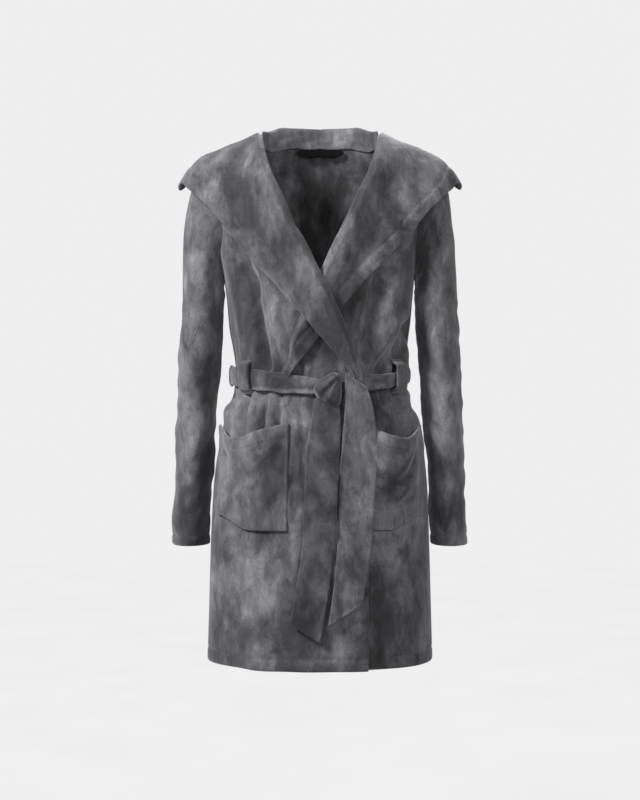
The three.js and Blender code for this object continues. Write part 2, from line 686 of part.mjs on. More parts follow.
function pocketPoint(side, u, z, w, cloth) {
  const rise = riseAt(z, 0);
  const x = side * lerp(POCKET_INNER, POCKET_OUTER, u);
  const mouth = (z - POCKET_FOOT) / POCKET_HEIGHT;
  const fromWrap = Math.abs(x) - WRAP_HALF_WIDTH;
  const fromSide = POCKET_OUTER - Math.abs(x);
  const free = smoothstep(fromWrap, 10, 26) * smoothstep(fromSide, 4, 32);
  const gape = POCKET_GAPE * free * smoothstep(mouth, 0, 0.75);
  const lift = (side < 0 ? wrapLift(x, rise) : 0) + LAYER_GAP + gape + w * cloth;
  return onForm(x, rise, lift);
}

for (const [name, side] of [['right', -1], ['left', 1]]) {
  add(`pocket_${name}`, sheet(10, POCKET_ROWS.length - 1, (u, v, w) => {
    const row = Math.round(v * (POCKET_ROWS.length - 1));
    return pocketPoint(side, u, POCKET_ROWS[row] - (v === 1 ? SEAM_GAP : 0), w, CLOTH);
  }), FLEECE);
  add(`pocket_hem_${name}`, sheet(10, 1, (u, v, w) => {
    const z = lerp(POCKET_BAND_FOOT, POCKET_TOP, v);
    return pocketPoint(side, u, z, w, CLOTH);
  }), FLEECE);
}

// ---- Belt ---------------------------------------------------------------------------------------

// Round the body: turn 0 is the middle of the back.
add('belt_waist', tube(48, 1, (turn, v, w) => {
  const z = lerp(BELT_FOOT, BELT_TOP, v);
  const bearing = (turn - 0.5) * 2 * Math.PI;
  const inFront = Math.abs(bearing) < RIGHT_ANGLE;
  const angle = inFront ? bearing : Math.sign(bearing || 1) * Math.PI - bearing;
  const rise = inFront ? riseAt(z, 0) : 2 - riseAt(z, 0);
  const base = inFront ? wrapLift(widthAt(angle, rise), rise) : 0;
  return formPoint(angle, rise, base + LAYER_GAP + w * BELT_CLOTH);
}), FLEECE);

// The knot sits on the belt, and the two ends hang from it.
const BELT_OUTSIDE = WRAP_LIFT + LAYER_GAP + BELT_CLOTH;
const KNOT_Z = WAIST_Z - 4;
const KNOT_Y = -(WAIST_HALF_DEPTH + BELT_OUTSIDE + LAYER_GAP + KNOT_HALF_DEPTH);

function knotSolid() {
  const geometry = new THREE.SphereGeometry(1, 16, 10);
  geometry.rotateX(RIGHT_ANGLE);
  geometry.scale(KNOT_HALF_WIDTH, KNOT_HALF_DEPTH, KNOT_HALF_HEIGHT);
  geometry.translate(KNOT_CENTRE, KNOT_Y, KNOT_Z);
  return geometry;
}
add('belt_knot', knotSolid(), FLEECE);

// Each end is a flat tube of cloth: [share of its length, middle] pairs give its line, and its foot is
// cut at a slant, lower on the side `slant` points to.
const TAIL_TOP = KNOT_Z - KNOT_HALF_HEIGHT - SEAM_GAP;
const TAIL_STANDOFF = 12;
const TAIL_SLANT = 16;

function tailPoint(length, slant, line, u, v, w) {
  const across = 2 * u - 1;
  const foot = TAIL_TOP - length + TAIL_SLANT * (1 - across * slant);
  const z = lerp(foot, TAIL_TOP, v);
  const half = TAIL_HALF_WIDTH * (1 - 0.25 * smoothstep(v, 0.6, 1));
  const x = through(line, 1 - v) + half * across;
  const lean = TAIL_STANDOFF * smoothstep(z, TAIL_TOP - 110, TAIL_TOP);
  const [, y] = onForm(x, riseAt(z, 0), WRAP_LIFT + 2 * LAYER_GAP + lean + w * TAIL_CLOTH);
  return [x, y, z];
}

const TAILS = [
  { name: 'right', length: TAIL_RIGHT_LENGTH, slant: 1, line: [[0, 14], [0.3, 8], [0.6, 0], [1, -17]] },
  { name: 'left', length: TAIL_LEFT_LENGTH, slant: -1, line: [[0, 66], [0.3, 62], [0.7, 57], [1, 44]] },
];
for (const { name, length, slant, line } of TAILS) {
  add(`belt_tail_${name}`, sheet(3, 10, (u, v, w) => tailPoint(length, slant, line, u, v, w)), FLEECE);
}

// Loops at the sides, over the belt, sewn down above and below it.
const LOOP_REACH = 8;
for (const [name, side] of [['right', -1], ['left', 1]]) {
  add(`belt_loop_${name}`, sheet(3, 10, (u, v, w) => {
    const far = lerp(-1, 1, v) * (BELT_HALF_HEIGHT + LOOP_REACH);
    const over = 1 - smoothstep(Math.abs(far), BELT_HALF_HEIGHT + 1, BELT_HALF_HEIGHT + LOOP_REACH);
    const x = side * (LOOP_CENTRE + lerp(-LOOP_HALF_WIDTH, LOOP_HALF_WIDTH, u));
    const rise = riseAt(WAIST_Z + far, 0);
    const under = side < 0 ? wrapLift(x, rise) : 0;
    const beltOuter = wrapLift(x, rise) + BELT_CLOTH + 3 * LAYER_GAP;
    const lift = lerp(under, beltOuter, over) + LAYER_GAP + w * LOOP_CLOTH;
    return onForm(x, rise, lift);
  }), FLEECE);
}

export default robe;
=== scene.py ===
"""A short hooded wrap robe of plush fleece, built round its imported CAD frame.

Metres, +Z up. The robe faces -Y, the wearer's right is -X and the wearer's left is +X.
"""
from math import pi

import bpy
import bmesh
import numpy as np
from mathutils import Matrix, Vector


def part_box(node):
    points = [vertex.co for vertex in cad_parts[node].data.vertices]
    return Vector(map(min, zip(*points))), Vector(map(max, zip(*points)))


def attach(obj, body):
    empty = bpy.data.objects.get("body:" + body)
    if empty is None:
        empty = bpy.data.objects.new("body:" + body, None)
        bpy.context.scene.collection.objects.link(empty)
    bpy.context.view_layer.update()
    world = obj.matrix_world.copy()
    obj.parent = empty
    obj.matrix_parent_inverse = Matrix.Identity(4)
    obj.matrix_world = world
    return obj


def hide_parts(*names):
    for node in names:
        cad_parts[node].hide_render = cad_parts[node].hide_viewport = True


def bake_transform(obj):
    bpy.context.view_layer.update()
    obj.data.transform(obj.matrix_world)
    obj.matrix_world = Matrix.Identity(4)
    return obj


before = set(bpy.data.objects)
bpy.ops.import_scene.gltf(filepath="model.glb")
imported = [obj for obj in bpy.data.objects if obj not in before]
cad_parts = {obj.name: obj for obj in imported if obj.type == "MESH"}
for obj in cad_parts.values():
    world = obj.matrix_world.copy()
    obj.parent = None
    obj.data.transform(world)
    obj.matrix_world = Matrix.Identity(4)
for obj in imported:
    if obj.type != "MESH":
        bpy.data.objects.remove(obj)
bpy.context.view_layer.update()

QUARTER = pi / 2

# ---- Sizes: from the frame where a CAD node holds them, the rest as named values ------------------


def low(node):
    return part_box(node)[0]


def high(node):
    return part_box(node)[1]


HEM_Z = low("skirt_hem_back")[2]
SKIRT_HEM = high("skirt_hem_back")[2] - HEM_Z
WAIST_Z = (low("belt_waist")[2] + high("belt_waist")[2]) / 2
BELT_HALF = (high("belt_waist")[2] - low("belt_waist")[2]) / 2
CUFF_Z = low("sleeve_hem_left")[2]
CUFF_HEM = high("sleeve_hem_left")[2] - CUFF_Z
POCKET_FOOT = low("pocket_left")[2]
POCKET_TOP = high("pocket_hem_left")[2]
POUCH_FOOT = low("hood_crown_left")[2]
RIM_Z = high("hood_edge_back")[2]

CLOTH = 0.004
HEM_EXTRA = 0.0012
HOOD_HEM_EXTRA = 0.0016
GRID = 0.006

CHEST_Z = -0.150
CHEST_WIDTH = 0.175
CHEST_DEPTH = 0.118
YOKE = 0.150
ARMPIT_Z = -0.205
ARMHOLE_DEPTH = 0.058
SHOULDER = 0.180
SHOULDER_Z = -0.018
SHOULDER_SHARE = 0.842
CAPE_MARGIN = 0.070
NECK_WIDTH = 0.100
NECK_DEPTH = 0.078
SECTION = 2.3
WRAP = 0.074
WRAP_LIFT = 0.013
FACING = 0.026

# How far the form reaches out at the shoulder ridge, and how soon it gets there.
TORSO = (SHOULDER / SHOULDER_SHARE, 1.0)
CAPE = (SHOULDER + CAPE_MARGIN, 0.45)

# ---- Small helpers -------------------------------------------------------------------------------


def lerp(a, b, t):
    return a + (b - a) * t


def smooth(x, start, end):
    t = np.clip((np.asarray(x, float) - start) / (end - start), 0, 1)
    return t * t * (3 - 2 * t)


def bell(x, middle, width):
    return np.exp(-(((np.asarray(x, float) - middle) / width) ** 2))


def through(keys, x):
    """A smooth curve through (position, value) pairs, read at x."""
    position, value = np.array(sorted(keys), float).T
    slope = np.gradient(value, position)
    x = np.clip(np.asarray(x, float), position[0], position[-1])
    i = np.clip(np.searchsorted(position, x) - 1, 0, len(position) - 2)
    span = position[i + 1] - position[i]
    t = (x - position[i]) / span
    bend = (3 - 2 * t) * t * t
    entry = t * (1 - t) ** 2 * span * slope[i]
    leave = t * t * (1 - t) * span * slope[i + 1]
    return lerp(value[i], value[i + 1], bend) + entry - leave


def waves(x, z, seed, length, stretch=3.0, count=7):
    """Soft, uneven undulation from -1 to 1: a seeded sum of slanted waves, long along z."""
    draw = np.random.default_rng(seed)
    total = np.zeros(np.broadcast(x, z).shape)
    for _ in range(count):
        across = draw.uniform(0.7, 1.4) * 2 * pi / length
        along = draw.normal() * across / stretch
        total = total + np.sin(across * x + along * z + draw.uniform(0, 2 * pi))
    return total / (count * 0.6)


def steps(start, end, size=GRID, finer=()):
    """Even steps from start to end, with closer ones about each of the finer places."""
    count = max(int(round(abs(end - start) / size)), 2)
    places = list(np.linspace(start, end, count + 1))
    for place in finer:
        places = [p for p in places if abs(p - place) > 0.0055 or p in (start, end)]
        places += [place - 0.0045, place - 0.0018, place, place + 0.0018, place + 0.0045]
    return np.array(sorted(places, reverse=start > end))


# ---- The form that the cloth lies on -------------------------------------------------------------
# `rise` runs over the body from front to back: below 0 it counts yoke heights down the front from the
# chest line, 0 to 1 goes up to the shoulder ridge, 1 to 2 down to the chest line behind, and on.


def measured_sections():
    """Half widths and half depths by height, read off the CAD back below the armpit, then the chest's own."""
    points = [tuple(v.co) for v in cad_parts["back_panel"].data.vertices]
    rows = {}
    for x, y, z in points:
        if z < ARMPIT_Z + 0.0005:
            rows.setdefault(round(z, 3), []).append((abs(x), y))
    widths = [(z, max(x for x, _ in row)) for z, row in rows.items()]
    depths = [(z, max(y for _, y in row)) for z, row in rows.items()]
    return widths + [(CHEST_Z, CHEST_WIDTH)], depths + [(CHEST_Z, CHEST_DEPTH)]


BODY_WIDTHS, BODY_DEPTHS = measured_sections()
RIDGE = [
    (0, 0.066), (0.050, 0.046), (0.090, 0.008), (0.120, 0.000), (0.150, -0.006), (0.180, -0.018),
    (0.202, -0.029), (0.220, -0.046), (0.240, -0.075),
]


def ridge(x):
    return through(RIDGE, np.abs(x))


def rise_at(z, top):
    z = np.asarray(z, float)
    above = np.arcsin(np.clip((z - CHEST_Z) / (top - CHEST_Z), 0, 1)) / QUARTER
    return np.where(z <= CHEST_Z, (z - CHEST_Z) / YOKE, above)


def nearer(rise):
    return np.minimum(rise, 2 - np.asarray(rise, float))


def half_width(rise, over):
    reach, haste = over
    front = nearer(rise)
    upper = lerp(CHEST_WIDTH, reach, np.sin(np.clip(front, 0, 1) * QUARTER) ** haste)
    return np.where(front <= 0, through(BODY_WIDTHS, CHEST_Z + front * YOKE), upper)


def half_depth(rise):
    front = nearer(rise)
    return np.where(front <= 0, through(BODY_DEPTHS, CHEST_Z + front * YOKE), CHEST_DEPTH)


def angle_at(x, rise, over=TORSO):
    share = np.clip(np.abs(x) / half_width(rise, over), 0, 1)
    return np.sign(x) * np.arcsin(share ** (SECTION / 2))


def width_at(angle, rise, over=TORSO):
    return np.sign(angle) * half_width(rise, over) * np.abs(np.sin(angle)) ** (2 / SECTION)


def form(angle, rise, lift, over=TORSO):
    """A point `lift` above the outer face of the body cloth."""
    front = nearer(rise)
    slant = np.clip(front, 0, 1) * QUARTER
    wide = half_width(rise, over)
    x = width_at(angle, rise, over)
    across = np.clip(np.cos(angle), 0, 1) ** (2 / SECTION)
    depth = (half_depth(rise) + lift) * across * np.cos(slant)
    upper = CHEST_Z + (ridge(x) + lift - CHEST_Z) * np.sin(slant)
    z = np.where(front > 0, upper, CHEST_Z + front * YOKE)
    y = np.where(np.asarray(rise) > 1, depth, -depth)
    return np.stack(np.broadcast_arrays(x * (wide + lift) / wide, y, z), axis=-1)


def on_form(x, rise, lift, over=TORSO):
    return form(angle_at(x, rise, over), rise, lift, over)


ARM_MIDDLE = (SHOULDER_Z + ARMPIT_Z) / 2
ARM_RADIUS = (SHOULDER_Z - ARMPIT_Z) / 2


def armhole_edge(z):
    """Where the armhole's edge crosses height z, as (angle, rise) in front."""
    lean = np.clip((z - ARM_MIDDLE) / ARM_RADIUS, -1, 0.9995)
    rise = rise_at(ARM_MIDDLE + ARM_RADIUS * lean, SHOULDER_Z)
    depth = half_depth(rise) * np.cos(np.clip(rise, 0, 1) * QUARTER)
    share = np.clip(ARMHOLE_DEPTH * np.sqrt(1 - lean * lean) / depth, 0, 1)
    return np.arccos(share ** (SECTION / 2)), rise


def side_edge(z):
    angle, rise = armhole_edge(z)
    below = z <= ARMPIT_Z
    return np.where(below, QUARTER, angle), np.where(below, rise_at(z, SHOULDER_Z), rise)


# ---- Materials -----------------------------------------------------------------------------------


class Nodes:
    """A short way to write a node tree."""

    def __init__(self, name):
        self.material = bpy.data.materials.new(name)
        self.material.use_nodes = True
        self.tree = self.material.node_tree
        self.shader = self.tree.nodes["Principled BSDF"]
        self.place = self.add("ShaderNodeTexCoord").outputs["Object"]

    def add(self, kind, **values):
        node = self.tree.nodes.new(kind)
        for key, value in values.items():
            setattr(node, key, value)
        return node

    def link(self, source, socket):
        self.tree.links.new(source, socket)

    def noise(self, scale, detail=3.0, roughness=0.55, distortion=0.0, squeeze=(1, 1, 1)):
        mapping = self.add("ShaderNodeMapping")
        mapping.inputs["Scale"].default_value = squeeze
        self.link(self.place, mapping.inputs["Vector"])
        node = self.add("ShaderNodeTexNoise")
        self.link(mapping.outputs["Vector"], node.inputs["Vector"])
        settings = {"Scale": scale, "Detail": detail, "Roughness": roughness, "Distortion": distortion}
        for key, value in settings.items():
            node.inputs[key].default_value = value
        return node.outputs["Fac"]

    def ramp(self, source, stops):
        node = self.add("ShaderNodeValToRGB")
        node.color_ramp.interpolation = "EASE"
        points = node.color_ramp.elements
        while len(points) < len(stops):
            points.new(0.5)
        for point, (place, colour) in zip(points, stops):
            point.position = place
            point.color = (*colour, 1)
        self.link(source, node.inputs["Fac"])
        return node.outputs["Color"]

    def mix(self, first, second, factor, kind="MIX"):
        node = self.add("ShaderNodeMix", data_type="RGBA", blend_type=kind)
        for value, socket in ((factor, node.inputs[0]), (first, node.inputs[6]), (second, node.inputs[7])):
            if isinstance(value, (int, float)):
                socket.default_value = value
            elif isinstance(value, tuple):
                socket.default_value = (*value, 1)
            else:
                self.link(value, socket)
        return node.outputs[2]

    def bump(self, height, distance, strength, under=None):
        node = self.add("ShaderNodeBump")
        node.inputs["Distance"].default_value = distance
        node.inputs["Strength"].default_value = strength
        self.link(height, node.inputs["Height"])
        if under is not None:
            self.link(under, node.inputs["Normal"])
        return node.outputs["Normal"]


LONG_NAP = (1, 1, 0.6)
SHEEN_TINT = (0.62, 0.62, 0.66, 1)


def grey(value, cool=1.03):
    return (value, value * 0.995, value * cool)


def plush(name, dark, light, nap_scale=1.0, sheen=0.24, pile=1.0, nap=0.75):
    """Brushed fleece: the nap lies in patches, some light and some dark, over a fine soft pile."""
    n = Nodes(name)
    patches = n.noise(12.0 * nap_scale, 5.0, 0.6, 0.3, LONG_NAP)
    strokes = n.noise(42.0 * nap_scale, 5.0, 0.65, 0.5, LONG_NAP)
    tufts = n.noise(330.0, 3.0, 0.6)
    fibres = n.noise(1400.0, 2.0, 0.6)
    low_light = n.ramp(patches, [(0.36, dark), (0.64, light)])
    stroke_light = n.ramp(strokes, [(0.34, grey(0.24)), (0.50, grey(0.5)), (0.66, grey(0.78))])
    colour = n.mix(low_light, stroke_light, nap, "OVERLAY")
    tuft_light = n.ramp(tufts, [(0.35, grey(0.40)), (0.65, grey(0.60))])
    colour = n.mix(colour, tuft_light, 0.45, "OVERLAY")
    n.link(colour, n.shader.inputs["Base Color"])
    n.shader.inputs["Roughness"].default_value = 0.92
    n.shader.inputs["Specular IOR Level"].default_value = 0.12
    n.shader.inputs["Sheen Weight"].default_value = sheen
    n.shader.inputs["Sheen Roughness"].default_value = 0.45
    n.shader.inputs["Sheen Tint"].default_value = SHEEN_TINT
    brushed = n.bump(strokes, 0.0050 * pile, 0.5)
    soft = n.bump(tufts, 0.0012 * pile, 0.55, brushed)
    n.link(n.bump(fibres, 0.0005 * pile, 0.5, soft), n.shader.inputs["Normal"])
    return n.material


def satin(name):
    n = Nodes(name)
    weave = n.add("ShaderNodeTexWave", wave_type="BANDS", bands_direction="X")
    weave.inputs["Scale"].default_value = 900.0
    n.link(n.place, weave.inputs["Vector"])
    colour = n.ramp(weave.outputs["Fac"], [(0.2, grey(0.0015)), (0.8, grey(0.004))])
    n.link(colour, n.shader.inputs["Base Color"])
    n.shader.inputs["Roughness"].default_value = 0.85
    n.shader.inputs["Specular IOR Level"].default_value = 0.0
    return n.material


PLUSH = plush("plush_fleece", grey(0.014), grey(0.060))
PLUSH_DARK = plush("plush_fleece_against_nap", grey(0.008), grey(0.036))
# The reverse side's own grey, raised above the outer fleece's as painted fill light.
INSIDE_PAINTED_FILL = plush("plush_fleece_inside_painted_fill", grey(0.070), grey(0.080), 2.2, 0.25, 0.6, 0.25)
LABEL = satin("label_satin")

# ---- Meshes --------------------------------------------------------------------------------------


def normals(points, around):
    across = np.gradient(points, axis=1)
    if around:
        across = (np.roll(points, -1, axis=1) - np.roll(points, 1, axis=1)) / 2
    along = np.gradient(points, axis=0)
    n = np.cross(across, along)
    return n / np.maximum(np.linalg.norm(n, axis=-1, keepdims=True), 1e-12)


def make(name, vertices, faces, material, levels=1, lining=None, lined=()):
    mesh = bpy.data.meshes.new(name)
    mesh.from_pydata([tuple(v) for v in vertices], [], [tuple(f) for f in faces])
    work = bmesh.new()
    work.from_mesh(mesh)
    bmesh.ops.recalc_face_normals(work, faces=work.faces)
    work.to_mesh(mesh)
    work.free()
    piece = bpy.data.objects.new(name, mesh)
    bpy.context.scene.collection.objects.link(piece)
    mesh.materials.append(material)
    if lining:
        mesh.materials.append(lining)
        for face in lined:
            mesh.polygons[face].material_index = 1
    if levels:
        piece.modifiers.new("fine", "SUBSURF").levels = levels
        bpy.context.view_layer.update()
        fine = bpy.data.meshes.new_from_object(piece.evaluated_get(bpy.context.evaluated_depsgraph_get()))
        piece.modifiers.clear()
        piece.data = fine
        fine.name = name
        bpy.data.meshes.remove(mesh)
    piece.data.shade_smooth()
    return piece


def cloth(name, points, thickness, material, around=False, levels=1, lining=None):
    """A closed sheet of cloth about a grid of points (rows, columns, 3).

    around joins the last column to the first. lining covers the face that the normals point away from,
    which on the robe's back is the outer one.
    """
    rows, columns = points.shape[:2]
    thick = np.broadcast_to(np.asarray(thickness, float), (rows, columns))[..., None]
    n = normals(points, around)
    faces_apart = [points + n * thick / 2, points - n * thick / 2]
    vertices = np.concatenate([face.reshape(-1, 3) for face in faces_apart])
    index = np.arange(rows * columns).reshape(rows, columns)
    under = index + rows * columns
    a, b = index, under
    if around:
        a, b = np.hstack([a, a[:, :1]]), np.hstack([b, b[:, :1]])

    def quads(grid):
        corners = [grid[:-1, :-1], grid[:-1, 1:], grid[1:, 1:], grid[1:, :-1]]
        return np.stack(corners, axis=-1).reshape(-1, 4)

    def strip(top, bottom):
        return np.stack([top[:-1], top[1:], bottom[1:], bottom[:-1]], axis=-1)

    faces = [quads(a), quads(b)[:, ::-1], strip(a[0], b[0]), strip(a[-1], b[-1])]
    if not around:
        faces += [strip(a[:, 0], b[:, 0]), strip(a[:, -1], b[:, -1])]
    lined = range(len(faces[0]), 2 * len(faces[0]))
    return make(name, vertices, np.concatenate(faces), material, levels, lining, lined)


def finish_cloth(piece, body, nodes, bend=None):
    """Attach the piece to its body, or with a bend only bake its transform, and hide its CAD nodes."""
    if bend:
        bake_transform(piece)
    else:
        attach(piece, body)
    if nodes:
        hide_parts(*nodes)
    return piece


# ---- Folds ---------------------------------------------------------------------------------------


def crease(x, z, top, bottom, width, depth, fade=0.25):
    """A fold from top to bottom, both (x, z): a valley with a rounded ridge on either side."""
    (x0, z0), (x1, z1) = top, bottom
    t = (z0 - z) / (z0 - z1)
    middle = lerp(x0, x1, t) + 0.006 * np.sin(3.0 * t + 40 * x0)
    across = (x - middle) / (1.25 * width)
    shape = 0.65 * np.exp(-((np.abs(across) - 1.6) ** 2) / 0.9) - np.exp(-(across ** 2))
    return 1.9 * depth * shape * smooth(t, 0, fade) * (1 - smooth(t, 1 - fade * 0.4, 1.02))


def gather(x, z, seed, depth=0.0068, reach=0.062):
    """Small pleats where the belt draws the cloth in."""
    above = np.where(z > WAIST_Z, reach * 0.8, reach * 1.15)
    off = np.abs(z - WAIST_Z)
    wobble = 0.006 * waves(x, z, seed + 5, 0.09)
    pleats = np.sin(2 * pi * (x + wobble) / 0.027) + 0.5 * np.sin(2 * pi * (x + wobble) / 0.0171 + seed)
    return depth * pleats * np.exp(-((off / above) ** 1.3)) * smooth(off, 0.004, 0.022)


RIGHT_FOLDS = [
    ((-0.145, -0.140), (-0.081, -0.392), 0.012, 0.0085),
    ((-0.111, -0.195), (-0.062, -0.392), 0.009, 0.0075),
    ((-0.082, -0.236), (-0.044, -0.396), 0.007, 0.0065),
    ((-0.058, -0.262), (-0.030, -0.396), 0.006, 0.0045),
    ((-0.120, -0.428), (-0.124, -0.520), 0.008, 0.0060),
    ((-0.079, -0.422), (-0.088, -0.530), 0.008, 0.0070),
    ((-0.055, -0.422), (-0.061, -0.560), 0.006, 0.0065),
    ((-0.041, -0.422), (-0.042, -0.640), 0.005, 0.0055),
    ((-0.024, -0.422), (-0.027, -0.760), 0.006, 0.0050),
    ((-0.006, -0.440), (-0.002, -0.700), 0.009, 0.0040),
]
LEFT_FOLDS = [
    ((0.150, -0.290), (0.080, -0.398), 0.012, 0.0090),
    ((0.168, -0.255), (0.118, -0.398), 0.011, 0.0080),
    ((0.110, -0.190), (0.066, -0.390), 0.013, 0.0060),
    ((0.088, -0.424), (0.104, -0.520), 0.010, 0.0060),
    ((0.125, -0.424), (0.136, -0.520), 0.009, 0.0050),
]


def front_folds(x, z, side):
    total = 0.0030 * waves(x, z, 11 + side, 0.16, 4.0)
    total = total + 0.0035 * waves(x, z, 17 + side, 0.11, 9.0) * smooth(-z, 0.45, 0.70)
    for top, bottom, width, depth in RIGHT_FOLDS if side < 0 else LEFT_FOLDS:
        total = total + crease(x, z, top, bottom, width, depth)
    quiet = smooth(np.abs(x), 0.045, 0.075) * 0.75 + 0.25
    return total + gather(x, z, 3 + side) * quiet


def groove(distance, depth=0.0026, width=0.0026):
    """A stitch line's furrow."""
    return -depth * np.exp(-((distance / width) ** 2))


def edge_swell(distance, reach, extra):
    """More thickness within reach of an edge, as a turned-in hem has."""
    return extra * (1 - smooth(distance, reach - 0.003, reach + 0.002))


# ---- The back and the fronts ---------------------------------------------------------------------

HEM_STITCH = HEM_Z + SKIRT_HEM


def body_rows():
    lower = steps(HEM_Z, ARMPIT_Z, finer=[HEM_STITCH])
    turn = np.linspace(pi, 0, 32)[1:]
    return np.concatenate([lower, ARM_MIDDLE + ARM_RADIUS * np.cos(turn)])


ROWS = body_rows()


def neckline_rise(x):
    share = np.clip(np.abs(x) / NECK_WIDTH, 0, 1)
    depth = NECK_DEPTH * np.sqrt(1 - share * share)
    section = CHEST_DEPTH * np.clip(np.cos(angle_at(x, 1.5)), 0, 1) ** (2 / SECTION)
    return 1 + np.arcsin(np.clip(depth / section, 0, 1)) / QUARTER


def hem_thickness(z):
    return CLOTH + edge_swell(z - HEM_Z, SKIRT_HEM, HEM_EXTRA) + 0.8 * groove(z - HEM_STITCH)


def back():
    edge, edge_rise = side_edge(ROWS[:, None])
    u = np.linspace(-1, 1, 84)[None, :]
    angle = u * edge
    rise = 2 - edge_rise + 0 * u
    armpit = float(2 - rise_at(ARMPIT_Z, SHOULDER_Z))
    climb = np.clip((armpit - rise) / (armpit - 1), 0, 1)
    top = np.maximum(neckline_rise(width_at(angle, rise)), 1.0)
    rise = np.where(rise < armpit, lerp(armpit, top, climb), rise)
    x, z = width_at(angle, rise), np.broadcast_to(ROWS[:, None], rise.shape)
    folds = 0.0040 * waves(x, z, 23, 0.13, 7.0) * smooth(-z, 0.25, 0.60) + gather(x, z, 29, 0.0045, 0.075)
    folds = folds + groove(x, 0.0012, 0.003) * smooth(-z, 0.30, 0.36)
    lift = -CLOTH / 2 + folds * (1 - smooth(np.abs(u), 0.93, 1))
    points = form(angle, rise, lift)
    thickness = hem_thickness(z)
    piece = cloth("robe_back", points, thickness, PLUSH, lining=INSIDE_PAINTED_FILL)
    finish_cloth(piece, "garment", ["back_panel", "skirt_hem_back"])


ROLL_LINE = [
    (HEM_Z, WRAP), (-0.575, WRAP - 0.002), (-0.450, WRAP - 0.008), (WAIST_Z, 0.060), (-0.330, 0.041),
    (-0.261, 0.015), (-0.208, -0.008), (-0.164, -0.028), (-0.114, -0.052), (-0.068, -0.075),
    (-0.024, -0.092), (0.005, -NECK_WIDTH),
]


def roll_width(rise):
    """The roll line's width at a rise, found by stepping until width and height agree."""
    x = through(ROLL_LINE, CHEST_Z + rise * YOKE)
    for _ in range(8):
        x = through(ROLL_LINE, on_form(x, rise, 0.0)[..., 2])
    return x


def wrap_lift(x, rise):
    across = smooth(x, -WRAP - 0.062, -WRAP - 0.002)
    past = smooth(x, WRAP + 0.004, WRAP + 0.060)
    return WRAP_LIFT * across * (1 - past) * (1 - smooth(rise, 0.3, 0.95))


def front(side, name):
    edge, rise = side_edge(ROWS[:, None])
    inner = angle_at(roll_width(rise), rise)
    facing = 0.062
    u = np.concatenate([[0.0, 0.006, 0.016, 0.030], np.linspace(0.047, 1, 54),
                        [facing - 0.004, facing, facing + 0.004]])
    u = np.sort(u)[None, :]
    angle = lerp(-inner, edge, u) * side
    rise = rise + 0 * u
    x, z = width_at(angle, rise), np.broadcast_to(ROWS[:, None], rise.shape)
    calm = (1 - smooth(u, 0.95, 1)) * (0.35 + 0.65 * smooth(u, 0.0, 0.14))
    base = wrap_lift(x, rise) if side < 0 else 0.0
    lift = base - CLOTH / 2 + front_folds(x, z, side) * calm * (1 - smooth(rise, 0.2, 0.9))
    points = form(angle, rise, lift)
    skirt = smooth(-z, 0.41, 0.45)
    across = np.abs(x - x[:, :1])
    facing_stitch = 0.8 * groove(across - FACING) * skirt
    thickness = hem_thickness(z) + facing_stitch + edge_swell(across, FACING, HEM_EXTRA) * skirt
    piece = cloth(f"robe_front_{name}", points, thickness, PLUSH)
    finish_cloth(piece, "garment", [f"front_panel_{name}", f"skirt_hem_{name}", f"front_facing_{name}"])


# ---- Sleeves -------------------------------------------------------------------------------------

SLEEVE_HEAD = -0.260
ARM_WIDTHS = (0.035, 0.031)
ARM_DEPTHS = (0.060, 0.052)
SLEEVE_FORWARD = 0.020
SLEEVE_LENGTH = 0.418
HEAD_SHARE = 0.27
HEAD_ROWS = 25
ARMPIT_BEND = (0.170, -0.190), (0.338, -0.361)


def sleeve_section(z, turn, lift):
    down = (SLEEVE_HEAD - z) / (SLEEVE_HEAD - CUFF_Z)
    wide, deep = lerp(*ARM_WIDTHS, down), lerp(*ARM_DEPTHS, down)
    inner = [(h, float(through(BODY_WIDTHS, h)) + 0.004) for h in (SLEEVE_HEAD, -0.575, CUFF_Z)]
    middle = through(inner, z) + wide
    x = middle + (wide + lift) * np.cos(turn)
    y = SLEEVE_FORWARD * down - (deep + lift) * np.sin(turn)
    return np.stack(np.broadcast_arrays(x, y, z), axis=-1)


